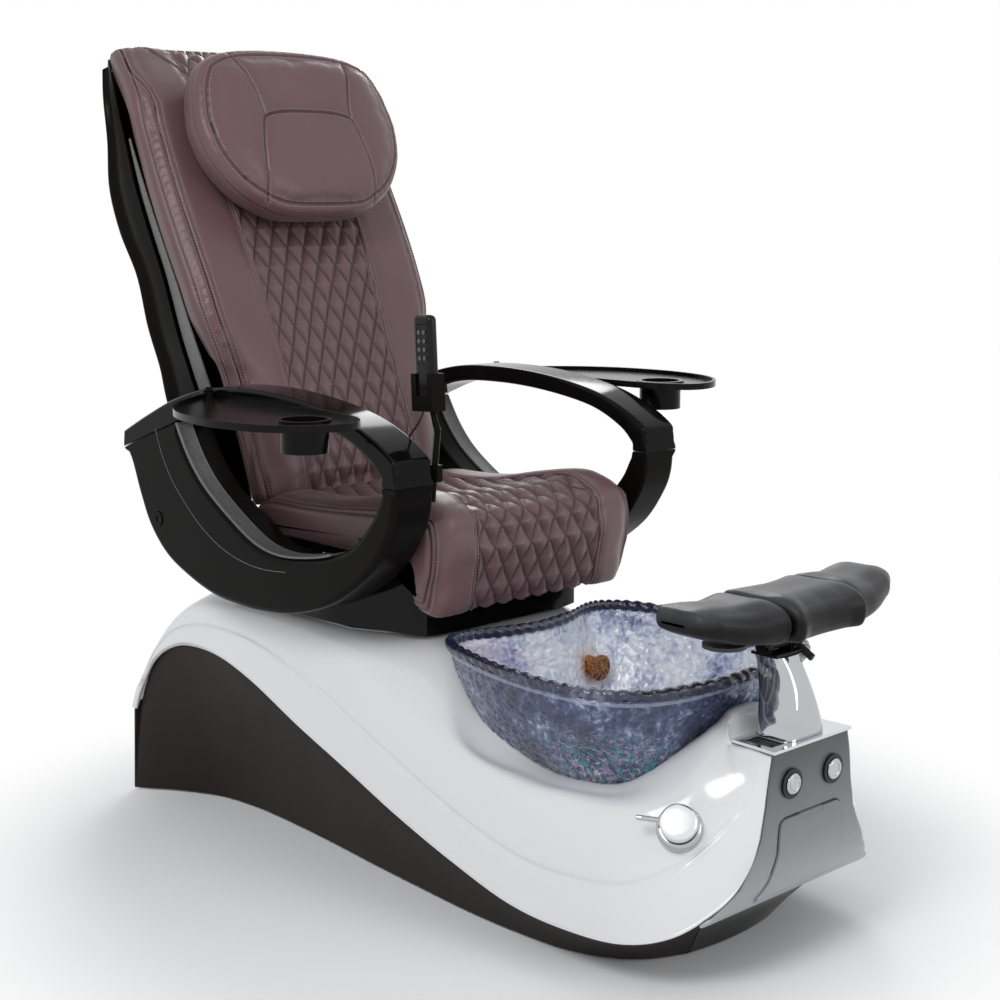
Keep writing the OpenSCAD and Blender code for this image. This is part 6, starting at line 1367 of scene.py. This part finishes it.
def to_line(points, line):
    """Least distance of flat points from a line of points."""
    best = np.full(points.shape[:-1], 9.0)
    for a, b in zip(line[:-1], line[1:]):
        ab = b - a
        k = np.clip(((points - a) @ ab) / (ab @ ab), 0, 1)
        best = np.minimum(best, np.linalg.norm(points - (a + k[..., None] * ab), axis=-1))
    return best

ARCH = np.array([[-130, -150], [-131, -110], [-128, -66], [-121, -24], [-113, 8], [-104, 28], [-78, 37],
    [-40, 41], [0, 42], [40, 41], [78, 37], [104, 28], [113, 8], [121, -24], [128, -66], [131, -110],
    [130, -150]]) / 1000
RISER = np.array([[104, 28], [108, 62], [118, 98], [130, 134], [138, 172]]) / 1000
arch = strand(ARCH, np.linspace(0, 1, 121))
riser = strand(RISER, np.linspace(0, 1, 41))
edge_line = strand(loop, np.linspace(0, 1, 241))
border_line = inset_loop(edge_line[:-1], 0.024)
border_line = np.concatenate([border_line, border_line[:1]])
d_arch = to_line(flat, arch)
d_riser = np.minimum(to_line(flat, riser), to_line(flat, riser * [-1, 1]))
d_border = to_line(flat, border_line)
rim_seam = seam_profile(local[..., 1] + 0.004, 0.0016)
lines_in = np.minimum(d_arch, d_riser)
groove = (0.0042 * seam_profile(lines_in, 0.0030) + 0.0034 * seam_profile(d_border, 0.0026)) * on_front \
    + 0.0022 * rim_seam
# foam swells between the seams, and small pulls gather against them
puff = 0.0030 * (1 - np.exp(-(np.minimum(lines_in, d_border) / 0.016) ** 1.3)) * on_front
theta = np.arctan2(flat[..., 1], flat[..., 0])
pull = 0.0005 * np.sin(56 * theta + 2 * np.sin(9 * theta)) * seam_profile(d_border, 0.011) * on_front
world = world + n_out * (puff + pull - groove)[..., None]
pillow = loft("pillow_leather", world, 75)
# painted shade along the seams and a painted highlight on the puffs
seam_shade = (0.85 * seam_profile(lines_in, 0.0019) + 0.8 * seam_profile(d_border, 0.0018)) * on_front
mark(pillow, seam=np.clip(seam_shade + 0.6 * rim_seam, 0, 1), swell=puff / 0.0030 * 0.30)
fit(pillow, mauve, "head_pillow")

front_flat = flat[on_front > 0.5]
near_flat = KDTree(len(front_flat))
for k, p in enumerate(front_flat):
    near_flat.insert((p[0], p[1], 0), k)
near_flat.balance()
front_world, front_n = world[on_front > 0.5], n_out[on_front > 0.5]

def on_pillow(line):
    """Points a hair above the finished front at flat points of a line."""
    out = []
    for p in line:
        found = near_flat.find_n((p[0], p[1], 0), 4)
        w = np.array([1 / (dist + 1e-4) for _, _, dist in found])
        ids = [k for _, k, _ in found]
        w = w / w.sum()
        out.append((w[:, None] * (front_world[ids] + 0.0004 * front_n[ids])).sum(0))
    return np.array(out)
rows_of = []
for off in (-0.0045, 0.0045):
    b_line = inset_loop(edge_line[:-1], 0.024 + off)
    rows_of.append(on_pillow(np.concatenate([b_line, b_line[:1]])))
    for piece in (arch, riser, riser * [-1, 1]):
        way = unit(np.gradient(piece, axis=0))
        rows_of.append(on_pillow((piece + off * np.stack([way[:, 1], -way[:, 0]], 1))[3:-3]))
fit(stitching("pillow_stitches", rows_of, thread), None, "head_pillow", False)

# ---- Back shell and side trims ----
# The back's rear cover: one satin black ABS moulding, 4 mm thick, clipped to the frame, and the grained
# grey strips that close the gap between it and the leather.
SHELL_EDGE = np.array([[238, 520, 602], [242, 545, 700], [246, 566, 806], [254, 580, 860], [272, 592, 940],
    [281, 622, 1045], [288, 655, 1130], [292, 690, 1215], [291, 724, 1305], [285, 764, 1395],
    [259, 826, 1465]]) / 1000
SHELL_REAR = np.array([[226, 586, 596], [228, 640, 700], [238, 670, 806], [246, 676, 870], [262, 686, 950],
    [268, 706, 1045], [272, 756, 1130], [274, 784, 1215], [272, 784, 1305], [268, 798, 1385],
    [250, 830, 1440]]) / 1000
t = np.linspace(0, 1, 121)
e, r = strand(SHELL_EDGE, t), strand(SHELL_REAR, t)
a = np.stack([e[:, 0], e[:, 1] + (r[:, 1] - e[:, 1]) * 0.55, (e[:, 2] + r[:, 2]) / 2], 1)
c = r * [0, 1, 1] + [0, 0.006, 0]
m = np.array([-1, 1, 1])
surf = np.swapaxes(strand(np.stack([e, a, r, c, r * m, a * m, e * m]), np.linspace(0, 1, 97)), 0, 1)
n = facing(surf)
wall = 0.004 if (n * (surf - surf.mean((0, 1)))).sum() < 0 else -0.004
hull = sheet("back_shell_satin", surf, wall, rim=0.0012)
fit(hull, satin_black, "back_shell")

t = np.linspace(0.14, 0.80, 121)
a = strand(BACK_EDGE, t) + [-0.004, 0.04508, -0.0147]
b = strand(SHELL_EDGE, t) - [0.005, 0.008, 0]
v = np.linspace(0, 1, 9)
surf = a[:, None] + (b - a)[:, None] * v[None, :, None]
surf[..., 0] += 0.0015 * np.sin(np.pi * v)[None]
trims = merged("back_trims_grained", [sheet("trim_half", surf * [side, 1, 1], 0.003 * side)
    for side in (1, -1)])
soften(trims, 0.0008)
fit(trims, grained_grey, "back_trims")

# ---- Handset, holster and gooseneck ----
# A gloss black remote in a satin holster, on a ribbed gooseneck that clamps to the near arm.
handset_gloss = finish("handset_gloss", (0.0045, 0.0040, 0.0040), 0.13, tone=0.08, grain=0.02,
    specular=0.20)
key_grey = finish("key_rubber", (0.075, 0.075, 0.080), 0.52, tone=0.05, grain=0.18, grain_scale=1200)
dress("gooseneck", 0.0009, satin_black, segments=3)
dress("handset", 0.0008, handset_gloss, segments=3)
dress("handset_keys", 0.0006, key_grey, segments=3)

# ---- Works ----
# The steel, copper, rubber and plastic works that show under the seat and the footrest, behind the
# door, and through the back's openings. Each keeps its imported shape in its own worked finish.
powder_black = finish("powder_coat_black", (0.020, 0.020, 0.021), 0.48, tone=0.10, grain=0.35,
    grain_scale=1500)
bright_steel = plating("bright_steel", (0.60, 0.61, 0.62), 0.26, ripple=0.04, scale=60)
# the copper's colour also carries painted dark reflection streaks
copper_tube = plating("copper_tube", (0.72, 0.36, 0.22), 0.24, ripple=0.06, scale=50, reflection_streak=0.12)
moulded_rubber = finish("moulded_rubber", (0.016, 0.016, 0.017), 0.62, tone=0.08, grain=0.28,
    grain_scale=900)
drain_plastic = finish("drain_plastic", (0.64, 0.64, 0.63), 0.42, tone=0.03, grain=0.12, grain_scale=600)
deck_grey = finish("deck_grey_abs", (0.17, 0.172, 0.178), 0.42, tone=0.06, grain=0.4, grain_scale=520,
    grain_kind="cell")
amber, tree, face, where = blank_paint("amber_lens")
glow = ramp_of(tree, noise(tree, where, 130.0, Detail=3.0, Distortion=1.0), [(0.36, (0.030, 0.010, 0.012)),
    (0.46, (0.30, 0.07, 0.02)), (0.54, (0.62, 0.30, 0.05)), (0.64, (0.10, 0.03, 0.02))])
plug(tree, face, Base_Color=glow, Transmission_Weight=0.35, Roughness=0.16)
bumped(tree, face, cells(tree, where, 240.0), 0.4, 0.001)

slot_finish = {"black_gloss": black_gloss, "black_satin": satin_black, "shell_white": gelcoat,
    "skirt_brown": espresso, "panel_grey": panel_plastic, "deck_grey": deck_grey,
    "grained_grey": grained_grey,
    "leather_brown": mauve, "pad_black": pad_skin, "chrome": chrome, "steel_dark": powder_black,
    "steel": bright_steel, "copper": copper_tube, "bowl_glass": bowl_glass, "lens_amber": amber,
    "rubber": moulded_rubber, "drain_white": drain_plastic}
for part in frame["record"]["subparts"]:
    # the valve and the rear panel have their finishes already
    if part["node"] not in ("mixer_valve", "rear_panel"):
        for held in parts[part["node"]].material_slots:
            held.material = slot_finish[part["material_slot"]]
